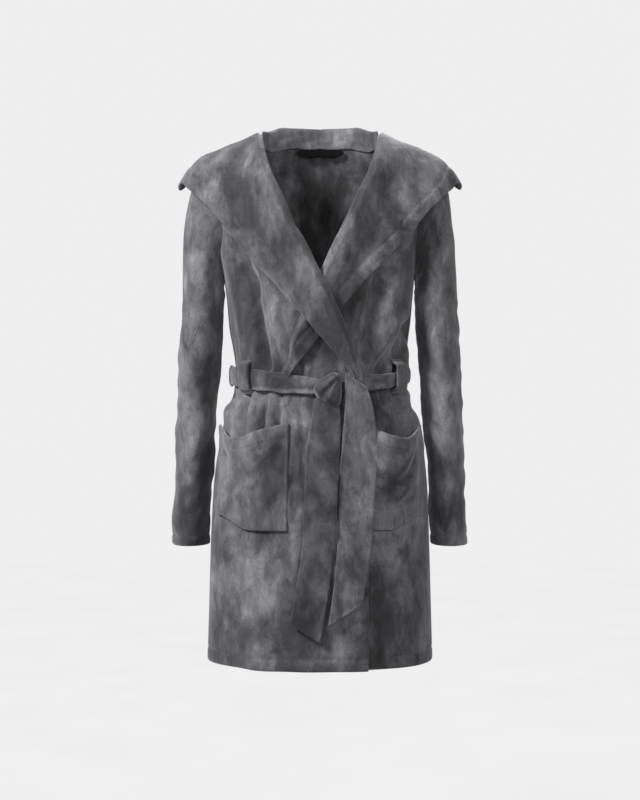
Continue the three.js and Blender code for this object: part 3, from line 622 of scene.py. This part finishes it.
def sleeve(side, name):
    turn = (np.arange(44) / 44 * 2 * pi)[None, :]
    stitch = CUFF_Z + CUFF_HEM
    heights = steps(SLEEVE_HEAD, CUFF_Z, 0.007, [stitch])[:, None]
    lower_share = 0.73 * (SLEEVE_HEAD - heights[:, 0]) / SLEEVE_LENGTH
    along = np.concatenate([np.linspace(0, 1, HEAD_ROWS + 1)[:-1] * HEAD_SHARE, HEAD_SHARE + lower_share])
    along = along[:, None]
    round_arm = np.sin(turn) * 0.06 + 0.02 * np.cos(2 * turn)
    folds = 0.0042 * waves(round_arm, along * 0.62, 31 + side, 0.075, 3.0)
    folds = folds + 0.0022 * waves(np.cos(turn) * 0.05, along * 0.62, 41 + side, 0.05, 1.2)
    lift = folds * smooth(along, 0.03, 0.2) * (1 - 0.7 * smooth(along, 0.90, 0.99)) - CLOTH / 2
    angle, rise = armhole_edge(ARM_MIDDLE + ARM_RADIUS * np.cos(turn))
    start = form(angle, np.where(turn > pi, 2 - rise, rise), -CLOTH / 2)
    t = np.linspace(0, 1, HEAD_ROWS + 1)[:-1, None, None]
    end = sleeve_section(np.array([[SLEEVE_HEAD]]), turn, lift[:HEAD_ROWS])
    control = end.copy()
    control[..., 2] = np.maximum(start[..., 2] - 0.008, end[..., 2])
    head = (1 - t) ** 2 * start + 2 * t * (1 - t) * control + t * t * end
    lower = sleeve_section(heights, turn, lift[HEAD_ROWS:])
    points = np.concatenate([head, lower])
    points[..., 0] *= side
    z = points[..., 2]
    thickness = CLOTH + edge_swell(z - CUFF_Z, CUFF_HEM, HEM_EXTRA) + 0.8 * groove(z - stitch)
    piece = cloth(f"robe_sleeve_{name}", points, thickness, PLUSH, around=True)
    body = f"sleeve_{name}"
    # The bend's start and end lie a long way below the armpit.
    start, end = [(side * x, 0, z) for x, z in ARMPIT_BEND]
    finish_cloth(piece, body, [f"sleeve_{name}", f"sleeve_hem_{name}"],
                 bend=("garment", body, start, end))


# ---- The hood's lapels ---------------------------------------------------------------------------

# (roll line's height, outer edge's width and height) from the waist up to the shoulder.
LAPEL = [
    (-0.400, 0.049, -0.404), (-0.384, 0.041, -0.386), (-0.330, 0.013, -0.346), (-0.261, -0.033, -0.284),
    (-0.208, -0.068, -0.239), (-0.164, -0.111, -0.190), (-0.114, -0.154, -0.139), (-0.068, -0.195, -0.099),
    (-0.024, -0.222, -0.080),
]
LAPEL_HEM = 0.021
ROLL_RADIUS = 0.0075
LAPEL_FOOT = 0.0045


def rise_behind(x, depth, over):
    """The rise at which the form stands `depth` behind the middle plane."""
    rise = np.full(np.shape(x), 1.5)
    for _ in range(8):
        section = CHEST_DEPTH * np.clip(np.cos(angle_at(x, rise, over)), 0.05, 1) ** (2 / SECTION)
        rise = 1 + np.arcsin(np.clip(depth / section, 0, 1)) / QUARTER
    return rise


def lapel_lines(v):
    """(width, rise) of the roll line and of the outer edge at v: 0 to 1 up the front, 1 to 2 behind."""
    count = len(LAPEL)
    at = np.clip(v, 0, 1) * count
    over = np.clip(v - 1, 0, 1)
    stations = range(count)
    rolls = [(i, float(through(ROLL_LINE, LAPEL[i][0]))) for i in stations] + [(count, -NECK_WIDTH)]
    roll_rises = [(i, float(rise_at(LAPEL[i][0], ridge(x)))) for i, x in rolls[:-1]] + [(count, 1.0)]
    turn = over * 0.95
    behind_x = -NECK_WIDTH * np.cos(turn)
    behind_rise = rise_behind(behind_x, NECK_DEPTH * np.sin(turn), CAPE)
    roll_x = np.where(v > 1, behind_x, through(rolls, at))
    roll_rise = np.where(v > 1, behind_rise, through(roll_rises, at))
    edges = [(i, LAPEL[i][1]) for i in stations]
    edges += [(count, -0.240), (count + 2, -0.224), (count + 4, -0.190), (count + 6, -0.150)]
    edge_rises = [(i, float(rise_at(LAPEL[i][2], ridge(LAPEL[i][1])))) for i in stations]
    edge_rises += [(count, 1.0), (count + 2, 1.34), (count + 4, 1.62), (count + 6, 1.86)]
    whole = at + 6 * over
    return (roll_x, roll_rise), (through(edges, whole), through(edge_rises, whole))


def lapel(side, name):
    v = np.concatenate([np.linspace(0, 1, 100), np.linspace(1, 2, 26)[1:]])[:, None]
    (roll_x, roll_rise), (edge_x, edge_rise) = lapel_lines(v)
    flat = on_form(roll_x, roll_rise, 0.0, CAPE), on_form(edge_x, edge_rise, 0.0, CAPE)
    width = np.linalg.norm(flat[0] - flat[1], axis=-1)
    width = np.maximum(width, 0.012)
    radius = ROLL_RADIUS
    roll_turn = np.linspace(pi, 0, 9)[:-1]
    tucked = np.array([0.016, 0.011, 0.007])
    hem = np.clip(LAPEL_HEM / width, 0, 0.45)
    inner = np.linspace(0, 1, 22)[None, :-1] * (1 - hem - 0.004 / width)
    outer = 1 - hem + np.array([-0.0018, 0.0, 0.0018, 0.0045])[None, :] / width
    last = (1 - hem) + hem * np.array([0.45, 0.62, 0.78, 0.90, 1.0])[None, :]
    top = np.concatenate([inner, outer, last], axis=1)
    distance_in = top * width
    # Across the cloth: tucked under the roll, round it, then out over the chest and shoulder.
    across = np.concatenate([
        np.broadcast_to(tucked, (len(v), 3)),
        radius - radius * np.sin(roll_turn)[None, :] + 0 * v,
        distance_in + radius * np.exp(-distance_in / 0.008),
    ], axis=1)
    puff = 0.0045 * np.exp(-distance_in / 0.030) + 0.0035 * smooth(top, 0.55, 1.0)
    heights = np.concatenate([
        np.zeros((len(v), 3)),
        radius + radius * np.cos(roll_turn)[None, :] + 0 * v,
        2 * radius - (2 * radius - LAPEL_FOOT) * smooth(distance_in, 0.004, 0.055) + puff,
    ], axis=1)
    # The roll is flatter at the waist and on the shoulder.
    heights = heights * (0.55 + 0.45 * smooth(v, 0.0, 0.12)) * (1 - 0.38 * smooth(v, 0.84, 1.0))
    collar = smooth(v, 0.88, 1.05) * np.exp(-np.clip(across, 0, 1) / 0.030) * 0.003
    heights = (heights + collar * (np.arange(across.shape[1]) > 2)) * (1 - smooth(v, 1.45, 1.95))
    part = across / width
    x = lerp(roll_x, edge_x, part) * -side
    rise = lerp(roll_rise, edge_rise, part)
    where = on_form(x, rise, 0.0, CAPE)
    ripple = 0.0030 * waves(where[..., 0] * 1.2, where[..., 2] + where[..., 1], 51 + side, 0.085, 1.6)
    ripple = ripple * smooth(part, 0.02, 0.3) * (1 - 0.7 * smooth(v, 0.80, 0.95))
    base = (wrap_lift(x, rise) if side < 0 else 0.0) + 0.003
    points = on_form(x, rise, base + heights + ripple, CAPE)
    points[..., 0] = lerp(points[..., 0], x, smooth(v, 0.72, 0.98))
    # The shoulder tip droops over the sleeve.
    beyond = smooth(np.abs(points[..., 0]), 0.205, 0.250)
    points[..., 2] -= 0.004 * beyond
    rim = (1 - part) * width
    thickness = CLOTH + edge_swell(rim, LAPEL_HEM, HOOD_HEM_EXTRA) + 0.9 * groove(rim - LAPEL_HEM) + 0 * x
    piece = cloth(f"hood_lapel_{name}", points, thickness, PLUSH)
    body = f"sleeve_{name}"
    finish_cloth(piece, "garment", [f"hood_cape_{name}", f"hood_hem_{name}"],
                 bend=("garment", body, (side * 0.150, 0, -0.03), (side * 0.250, 0, -0.07)))


# ---- The hood's back -----------------------------------------------------------------------------


HOOD_NODES = ["neck_band", "hood_edge_back"] + [
    f"hood_{part}_{name}" for part in ("nape", "crown") for name in ("right", "left")
]
BAND_TOP = 0.039
POUCH_HALF = 0.160


def shifted(points, y, z):
    """The points moved by y and z, each a number or a value for every column."""
    return points + np.stack(np.broadcast_arrays(0.0, y, z * np.ones(points.shape[1])), axis=-1)


def pouch_foot(x):
    return POUCH_FOOT + (CHEST_Z - POUCH_FOOT) * np.clip(np.abs(x) / POUCH_HALF, 0, 1) ** 2.2


def hood_band(u):
    """Up from the neck seam and over: the band that stands at the back of the neck."""
    neck_x = u * 0.099
    foot = on_form(neck_x, neckline_rise(neck_x), -0.001)
    height = BAND_TOP - 0.001 * u ** 2 - 0.013 * smooth(np.abs(u), 0.62, 1) - foot[..., 2]
    rows = []
    for t in np.linspace(0, 1, 9):
        lean = 0.004 * t + 0.0015 * waves(neck_x, t, 61, 0.06, 1.0)
        rows.append(shifted(foot, lean[0] - 0.0035, height[0] * t - 0.004))
    top = rows[-1]
    for turn in np.linspace(0, pi, 9)[1:]:
        rows.append(shifted(top, 0.008 * (1 - np.cos(turn)), 0.007 * np.sin(turn)))
    return rows


def hood_nape(u, start):
    """From the band down the back to the pouch's foot, and round it."""
    rows = []
    for s in np.linspace(0, 1, 34)[1:]:
        x = u * lerp(0.097, 0.156, smooth(s, 0.0, 0.45)) * (1 - 0.04 * s)
        z = lerp(start[..., 2] - 0.012, pouch_foot(x), s)
        rise = 2 - rise_at(z, ridge(x) + 0.02)
        lying = on_form(x, rise, 0.007 + 0.002 * waves(x, z, 63, 0.08, 2.0))
        point = lerp(shifted(start, 0.02 * s, 0.0), lying, smooth(s, 0.0, 0.30))
        point[..., 0] = x
        point[..., 2] = z
        rows.append(point)
    foot = rows[-1]
    for turn in np.linspace(0, pi, 8)[1:-1]:
        rows.append(shifted(foot, 0.006 * (1 - np.cos(turn)), -0.007 * np.sin(turn)))
    return rows


def crown_shares():
    """Steps from the pouch's foot up to the rim, closer about the rim's stitch line."""
    stitch = 1 - LAPEL_HEM / (RIM_Z - POUCH_FOOT)
    return np.sort(np.concatenate([np.linspace(0, 1, 30), [stitch - 0.02, stitch - 0.008, stitch + 0.008]]))


def hood_crown(u):
    """The outer layer, which bulges from the pouch's foot up to the rim."""
    bulge_at = 1 - 0.93 * np.abs(u) ** 2.2
    rows = []
    for s in crown_shares():
        x = u * lerp(0.150, 0.168, s)
        rim = RIM_Z + 0.004 - 0.006 * (1 - np.abs(u) ** 2)
        z = lerp(pouch_foot(x), rim, s)
        rise = 2 - rise_at(z, ridge(x) + 0.02)
        out = 0.018 + bulge_at * 0.042 * np.sin(min(s * 1.35, 1) * QUARTER)
        sag = 0.0035 * waves(x, z, 67, 0.07, 1.5) * smooth(s, 0.02, 0.2)
        rows.append(on_form(x, rise, out + sag))
    return rows


def hood_back():
    """One cloth: up from the neck seam, over, down the back, round the pouch's foot and up to the rim."""
    u = np.linspace(-1, 1, 68)[None, :]
    rows = hood_band(u)
    rows += hood_nape(u, rows[-1])
    rows += hood_crown(u)
    points = np.stack([row[0] for row in rows])
    shares = crown_shares()
    from_rim = np.ones(len(rows))
    from_rim[-len(shares):] = np.where(shares > 0, (1 - shares) * (RIM_Z - POUCH_FOOT), 1.0)
    from_rim = from_rim[:, None]
    seam = groove(points[..., 0], 0.0018, 0.0026)
    hem = edge_swell(from_rim, LAPEL_HEM, HOOD_HEM_EXTRA) + 0.9 * groove(from_rim - LAPEL_HEM)
    piece = cloth("hood_back", points, CLOTH + seam + hem, PLUSH)
    finish_cloth(piece, "garment", HOOD_NODES,
                 bend=("garment", "hood", (0, 0.080, 0.02), (0, 0.118, -0.05)))


# ---- Pockets -------------------------------------------------------------------------------------


POCKET_MOUTH = [(0, 0.016), (0.30, 0.005), (0.50, -0.005), (0.70, -0.009), (0.84, 0.000), (1, 0.012)]
POCKET_DEEP = 0.156
POCKET_BAND = 0.020
POCKET_STITCH = 0.006


def pocket(side, name):
    u = np.linspace(0, 1, 46)[None, :]
    mouth = through(POCKET_MOUTH, u)
    near_band = 1 - (POCKET_BAND + np.array([-0.0045, -0.0018, 0, 0.0018])) / POCKET_DEEP
    v = np.sort(np.concatenate([np.linspace(0, 1, 34), near_band]))[:, None]
    wide = lerp(0.046, 0.163, u) + 0.003 * (1 - v)
    foot = POCKET_FOOT + 0.022 * smooth(u, 0.55, 1.0) - 0.002
    z = lerp(foot, POCKET_TOP + 0.002 + mouth, v)
    rise = rise_at(z, 0.0)
    x = side * wide
    free = smooth(u, 0.05, 0.40) * (1 - smooth(u, 0.70, 0.99))
    gape = 0.017 * free * smooth(v, 0.15, 0.95)
    # Cloth slung between the two top corners falls in rounded swags.
    reach = np.hypot((u - 0.50) * 1.25, (1.12 - v) * 1.0)
    swags = np.sin(reach * 17.0 + 1.8 * waves(u, v, 71 + side, 0.9, 1.0)) * smooth(reach, 0.18, 0.4)
    inside = smooth(u, 0.02, 0.16) * (1 - smooth(u, 0.86, 0.99)) * smooth(v, 0.02, 0.20)
    folds = 0.0030 * swags * inside * (1 - 0.6 * smooth(v, 0.80, 0.88))
    folds = folds + 0.0025 * waves(x, z, 73 + side, 0.05, 1.2) * inside
    corner = bell(u, 0.93, 0.07) * smooth(v, 0.70, 0.95)
    lift = (wrap_lift(x, rise) if side < 0 else 0.0) + 0.0045 + gape + folds + 0.003 * corner
    points = on_form(x, rise, np.maximum(lift, 0.0035))
    edge = np.minimum(u, 1 - u) * 0.13
    below_mouth = (1 - v) * POCKET_DEEP - POCKET_BAND
    band_stitches = 0.9 * groove(below_mouth) + 0.6 * groove(below_mouth + 0.005)
    edge_stitches = 0.7 * groove(edge - POCKET_STITCH) + 0.7 * groove(v * POCKET_DEEP - POCKET_STITCH)
    thickness = CLOTH + 0.0020 * smooth(v, 0.865, 0.875) + band_stitches + edge_stitches
    piece = cloth(f"patch_pocket_{name}", points, thickness, PLUSH)
    finish_cloth(piece, "garment", [f"pocket_{name}", f"pocket_hem_{name}"])


# ---- Belt ----------------------------------------------------------------------------------------


BAND_SIDES = 24


def ribbon(middle, wide, high, half_height, half_thick):
    """A closed padded band: half_height along `high`, half_thick along `wide`, round every middle point."""
    q = np.arange(BAND_SIDES) / BAND_SIDES * 2 * pi
    rounded = lambda c: np.sign(c) * np.abs(c) ** 0.75
    up = (rounded(np.sin(q))[None, :, None] * half_height[:, None, None]) * high[:, None, :]
    out = rounded(np.cos(q))[None, :, None] * half_thick[:, None, None]
    return middle[:, None, :] + up + out * wide[:, None, :]


def capped(name, rings, material, closed=False, levels=1):
    """A tube through the rings; ends are closed with a fan unless the tube closes on itself."""
    count, around = rings.shape[:2]
    index = np.arange(count * around).reshape(count, around)
    index = np.hstack([index, index[:, :1]])
    if closed:
        index = np.vstack([index, index[:1]])
    faces = [tuple(f) for f in np.stack(
        [index[:-1, :-1], index[:-1, 1:], index[1:, 1:], index[1:, :-1]], axis=-1).reshape(-1, 4)]
    vertices = [tuple(p) for p in rings.reshape(-1, 3)]
    if not closed:
        for ring, row in ((rings[0], index[0]), (rings[-1], index[-1])):
            vertices.append(tuple(ring.mean(axis=0)))
            faces += [(int(row[i]), int(row[i + 1]), len(vertices) - 1) for i in range(around)]
    return make(name, vertices, faces, material, levels)


BELT_MIDDLE = [
    (-0.145, -0.391), (-0.10, -0.398), (-0.04, -0.406), (0.02, -0.411), (0.07, -0.404), (0.11, -0.399),
    (0.145, -0.389),
]
BELT_WIDTH = [
    (-0.145, 0.017), (-0.07, 0.0175), (-0.01, 0.0125), (0.05, 0.0105), (0.10, 0.0125), (0.145, 0.014),
]


def belt_waist():
    turn = np.linspace(0, 2 * pi, 241)[:-1]
    bearing = turn - pi
    ahead = np.abs(bearing) < QUARTER
    angle = np.where(ahead, bearing, np.sign(bearing + 1e-9) * pi - bearing)
    x = width_at(angle, -1.7)
    z = np.where(ahead, through(BELT_MIDDLE, x), -0.390 - 0.006 * np.cos(angle))
    half = np.where(ahead, through(BELT_WIDTH, x), 0.014 + 0.009 * np.abs(np.cos(angle)))
    half = half + 0.0012 * np.sin(turn * 9) + 0.0008 * np.sin(turn * 23)
    rise = np.where(ahead, rise_at(z, 0.0), 2 - rise_at(z, 0.0))
    base = np.where(ahead, wrap_lift(x, rise), 0.0)
    middle = form(angle, rise, base + 0.0062)
    outer = form(angle, rise, base + 0.0162)
    wide = outer - middle
    wide[:, 2] = 0
    wide /= np.linalg.norm(wide, axis=1, keepdims=True)
    high = np.tile([0.0, 0.0, 1.0], (len(turn), 1))
    thick = np.full(len(turn), 0.0046) + 0.0005 * np.sin(turn * 17)
    rings = ribbon(middle, wide, high, half, thick)
    q = np.arange(BAND_SIDES) / BAND_SIDES * 2 * pi
    fold = np.exp(-((np.sin(q)[None, :] + 0.30 + 0.2 * np.sin(3 * turn)[:, None]) / 0.25) ** 2)
    fold = fold * (np.cos(q)[None, :] > 0) * 0.0060 * smooth(np.abs(bearing), 1.5, 0.1)[:, None]
    rings = rings - fold[..., None] * wide[:, None, :]
    piece = capped("belt_round_waist", rings, PLUSH, closed=True)
    finish_cloth(piece, "garment", ["belt_waist"])


KNOT_OUTLINE = [
    (-180, 0.027), (-160, 0.0255), (-130, 0.0245), (-100, 0.026), (-66, 0.033), (-40, 0.025), (-15, 0.0205),
    (15, 0.0200), (45, 0.0250), (68, 0.0275), (95, 0.0225), (125, 0.0205), (155, 0.0225), (180, 0.027),
]
KNOT_MIDDLE = (0.0155, -0.1300, -0.4130)
KNOT_PLUMP = 0.0225
TUCK_FROM = (0.024, 0.030)


def knot():
    """The belt's wrap over itself: a plump kite of cloth with tucks running down from its upper right."""
    bearing = (np.arange(64) / 64 * 360 - 180)[None, :]
    outline = through(KNOT_OUTLINE, bearing)
    turn = np.radians(bearing)
    rings = []
    for t in np.concatenate([np.linspace(0, 1, 22), np.linspace(1, 2, 9)[1:]]):
        out = min(t, 2 - t)
        shrink = max(out, 0.02) if t <= 1 else max(1 - (t - 1) ** 2, 0.02)
        dx = outline * shrink * np.cos(turn)
        dz = outline * shrink * np.sin(turn)
        plump = KNOT_PLUMP * np.sqrt(np.clip(1 - t ** 2.6, 0, 1)) if t <= 1 else -0.006 * (t - 1)
        # Tucks fan out from the upper right corner.
        from_x, from_z = dx - TUCK_FROM[0], dz - TUCK_FROM[1]
        fan = np.arctan2(from_z, from_x)
        far = np.hypot(from_z, from_x)
        tuck = 0.0026 * np.sin(fan * 15.0 + 0.9) * smooth(far, 0.008, 0.030)
        tuck = tuck * smooth(1 - min(t, 1), 0.0, 0.25)
        wrap_edge = -0.0035 * bell(dx - 0.010 - 0.4 * dz, 0, 0.0028) * smooth(1 - min(t, 1), 0.0, 0.2)
        y = KNOT_MIDDLE[1] - plump - (tuck + wrap_edge if t <= 1 else 0.0) + 0 * dx
        rings.append(np.stack([KNOT_MIDDLE[0] + dx, y, KNOT_MIDDLE[2] + dz], axis=-1)[0])
    piece = capped("belt_knot_wrap", np.array(rings), PLUSH_DARK)
    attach(piece, "garment")
    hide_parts("belt_knot")


# The belt's ends: middle line and half width by height, and the slant of the top and of the foot.
TAILS = {
    "right": {
        "line": [(-0.430, 0.012), (-0.470, 0.009), (-0.560, 0.003), (-0.680, -0.004), (-0.760, -0.016),
                 (-0.822, -0.026)],
        "half": [(-0.430, 0.019), (-0.475, 0.0255), (-0.60, 0.0265), (-0.822, 0.0265)],
        "top": (-0.428, -0.428),
        "foot": (-0.792, -0.822),
        "stand": 0.016,
        "cloth": PLUSH_DARK,
    },
    "left": {
        "line": [(-0.386, 0.053), (-0.430, 0.061), (-0.470, 0.064), (-0.560, 0.060), (-0.690, 0.053),
                 (-0.800, 0.036)],
        "half": [(-0.386, 0.012), (-0.415, 0.019), (-0.450, 0.0235), (-0.800, 0.0245)],
        "top": (-0.386, -0.410),
        "foot": (-0.796, -0.762),
        "stand": 0.020,
        "cloth": PLUSH,
    },
}


def tail(name):
    spec = TAILS[name]
    count = 70
    u = np.linspace(-1, 1, 15)
    rows = []
    for t in np.linspace(0, 1, count):
        z = lerp(lerp(*spec["top"], (u + 1) / 2), lerp(*spec["foot"], (u + 1) / 2), t)
        middle, half = through(spec["line"], z), through(spec["half"], z)
        x = middle + half * u
        over_belt = spec["stand"] * smooth(z, -0.500, -0.425)
        sway = 0.0045 * np.sin(z * 31 + u * 1.2) + 0.0030 * np.sin(z * 67 + 2.4 * u)
        curl = 0.0025 * u * u * np.sin(z * 23 + 1.0)
        lying = on_form(x, rise_at(z, 0.0), WRAP_LIFT + 0.0085 + over_belt + sway + curl)
        lying[:, 0] = x
        lying[:, 2] = z
        rows.append(lying)
    points = np.stack(rows)
    side_gap = (1 - np.abs(u))[None, :]
    t = np.linspace(0, 1, count)[:, None]
    thickness = 0.0078 - 0.0022 * bell(side_gap, 0.20, 0.07) + 0.0006 * smooth(side_gap, 0.3, 0.8)
    thickness = thickness - 0.0022 * bell((1 - t) * 0.37, 0.007, 0.003)
    piece = cloth(f"belt_end_{name}", points, thickness, spec["cloth"])
    body = f"belt_tail_{name}"
    # The left end starts above its hinge, behind the knot.
    bend = ("garment", body, (0.06, -0.136, -0.415), (0.06, -0.136, -0.450)) if name == "left" else None
    finish_cloth(piece, body, [body],
                 bend=bend)


def belt_loop(side, name):
    far = np.linspace(-1, 1, 26)[:, None] * (BELT_HALF + 0.010)
    u = np.linspace(-1, 1, 9)[None, :]
    x = side * (0.111 + 0.0095 * u) + (0.011 if side > 0 else 0) + 0 * far
    z = WAIST_Z + 0.012 + far + 0 * u
    rise = rise_at(z, 0.0)
    over = 1 - smooth(np.abs(far), BELT_HALF - 0.001, BELT_HALF + 0.009)
    base = wrap_lift(x, rise) if side < 0 else 0.0
    belt_face = wrap_lift(x, rise) + 0.0145
    points = on_form(x, rise, lerp(base + 0.003, belt_face, over))
    thickness = 0.0046 - 0.0012 * bell(np.abs(u), 0.62, 0.12) + 0 * far
    piece = cloth(f"side_loop_{name}", points, thickness, PLUSH)
    finish_cloth(piece, "garment", [f"belt_loop_{name}"])


# ---- Neck label ----------------------------------------------------------------------------------


LABEL_THICK = 0.0009


def label():
    v = np.linspace(0, 1, 8)[:, None]
    u = np.linspace(-1, 1, 30)[None, :]
    half = through([(0, 0.031), (0.65, 0.042), (1, 0.034)], v)
    x = half * u
    inside = on_form(x, neckline_rise(x), -CLOTH)
    points = inside + np.stack(np.broadcast_arrays(0 * x, -0.0016 - 0.0010 * (1 - v) + 0 * x,
                                                   -0.002 - (1 - v) * 0.012 + 0 * x), axis=-1)
    points[..., 0] = x
    piece = cloth("neck_label_tape", points, LABEL_THICK, LABEL)
    finish_cloth(piece, "label", ["neck_label"])


# ---- Studio --------------------------------------------------------------------------------------


HORIZON = (0.86, 0.86, 0.87, 1)
OVERHEAD = (0.25, 0.25, 0.26, 1)
FLOOR_Z = -1.35
FLOOR_HALF = 6
FLOOR_TONES = [(0.3, (0.84, 0.84, 0.85)), (0.7, (0.86, 0.86, 0.87))]
# Name, place, size and power.
LIGHTS = [
    ("key", (-2.0, -1.7, 1.4), 0.6, 330),
    ("fill", (1.8, -2.6, 0.6), 1.2, 60),
    ("front", (0.1, -3.0, 0.2), 1.4, 45),
    ("back", (0.4, 2.4, 1.6), 1.8, 60),
]
LIGHT_AIM = (0, 0, -0.40)
CAMERA_PLACE = (0, -2.6, -0.432)
CAMERA_LENS = 68.8


def sky():
    world = bpy.data.worlds.new("studio")
    world.use_nodes = True
    tree = world.node_tree
    place = tree.nodes.new("ShaderNodeTexCoord")
    split = tree.nodes.new("ShaderNodeSeparateXYZ")
    tree.links.new(place.outputs["Generated"], split.inputs[0])
    fade = tree.nodes.new("ShaderNodeValToRGB")
    tree.links.new(split.outputs["Z"], fade.inputs["Fac"])
    for stop, position, colour in zip(fade.color_ramp.elements, (0.30, 0.55), (HORIZON, OVERHEAD)):
        stop.position = position
        stop.color = colour
    tree.links.new(fade.outputs["Color"], tree.nodes["Background"].inputs["Color"])
    bpy.context.scene.world = world


def floor():
    n = Nodes("studio_floor")
    tone = n.ramp(n.noise(3.0, 2.0), FLOOR_TONES)
    n.link(tone, n.shader.inputs["Emission Color"])
    n.shader.inputs["Emission Strength"].default_value = 1.0
    n.shader.inputs["Base Color"].default_value = (0.01, 0.01, 0.01, 1)
    n.shader.inputs["Specular IOR Level"].default_value = 0.0
    n.shader.inputs["Roughness"].default_value = 0.9
    corners = [(x * FLOOR_HALF, y * FLOOR_HALF, FLOOR_Z) for x, y in ((-1, -1), (1, -1), (1, 1), (-1, 1))]
    make("studio_floor", corners, [(0, 1, 2, 3)], n.material, 0)


def lamp(name, place, size, power):
    light = bpy.data.lights.new(name, "AREA")
    light.size = size
    light.energy = power
    source = bpy.data.objects.new(name, light)
    source.location = place
    aim = bpy.data.objects.new(name + "_aim", None)
    aim.location = LIGHT_AIM
    source.constraints.new("TRACK_TO").target = aim
    bpy.context.scene.collection.objects.link(source)
    bpy.context.scene.collection.objects.link(aim)


def camera():
    lens = bpy.data.cameras.new("camera")
    lens.lens = CAMERA_LENS
    view = bpy.data.objects.new("camera", lens)
    view.location = CAMERA_PLACE
    view.rotation_euler = (QUARTER, 0, 0)
    bpy.context.scene.collection.objects.link(view)
    bpy.context.scene.camera = view


def studio():
    bpy.context.scene.view_settings.view_transform = "Standard"
    sky()
    floor()
    for spec in LIGHTS:
        lamp(*spec)
    camera()


back()
for SIDE, NAME in ((-1, "right"), (1, "left")):
    front(SIDE, NAME)
    sleeve(SIDE, NAME)
    lapel(SIDE, NAME)
    pocket(SIDE, NAME)
    belt_loop(SIDE, NAME)
    tail(NAME)
hood_back()
belt_waist()
knot()
label()
studio()
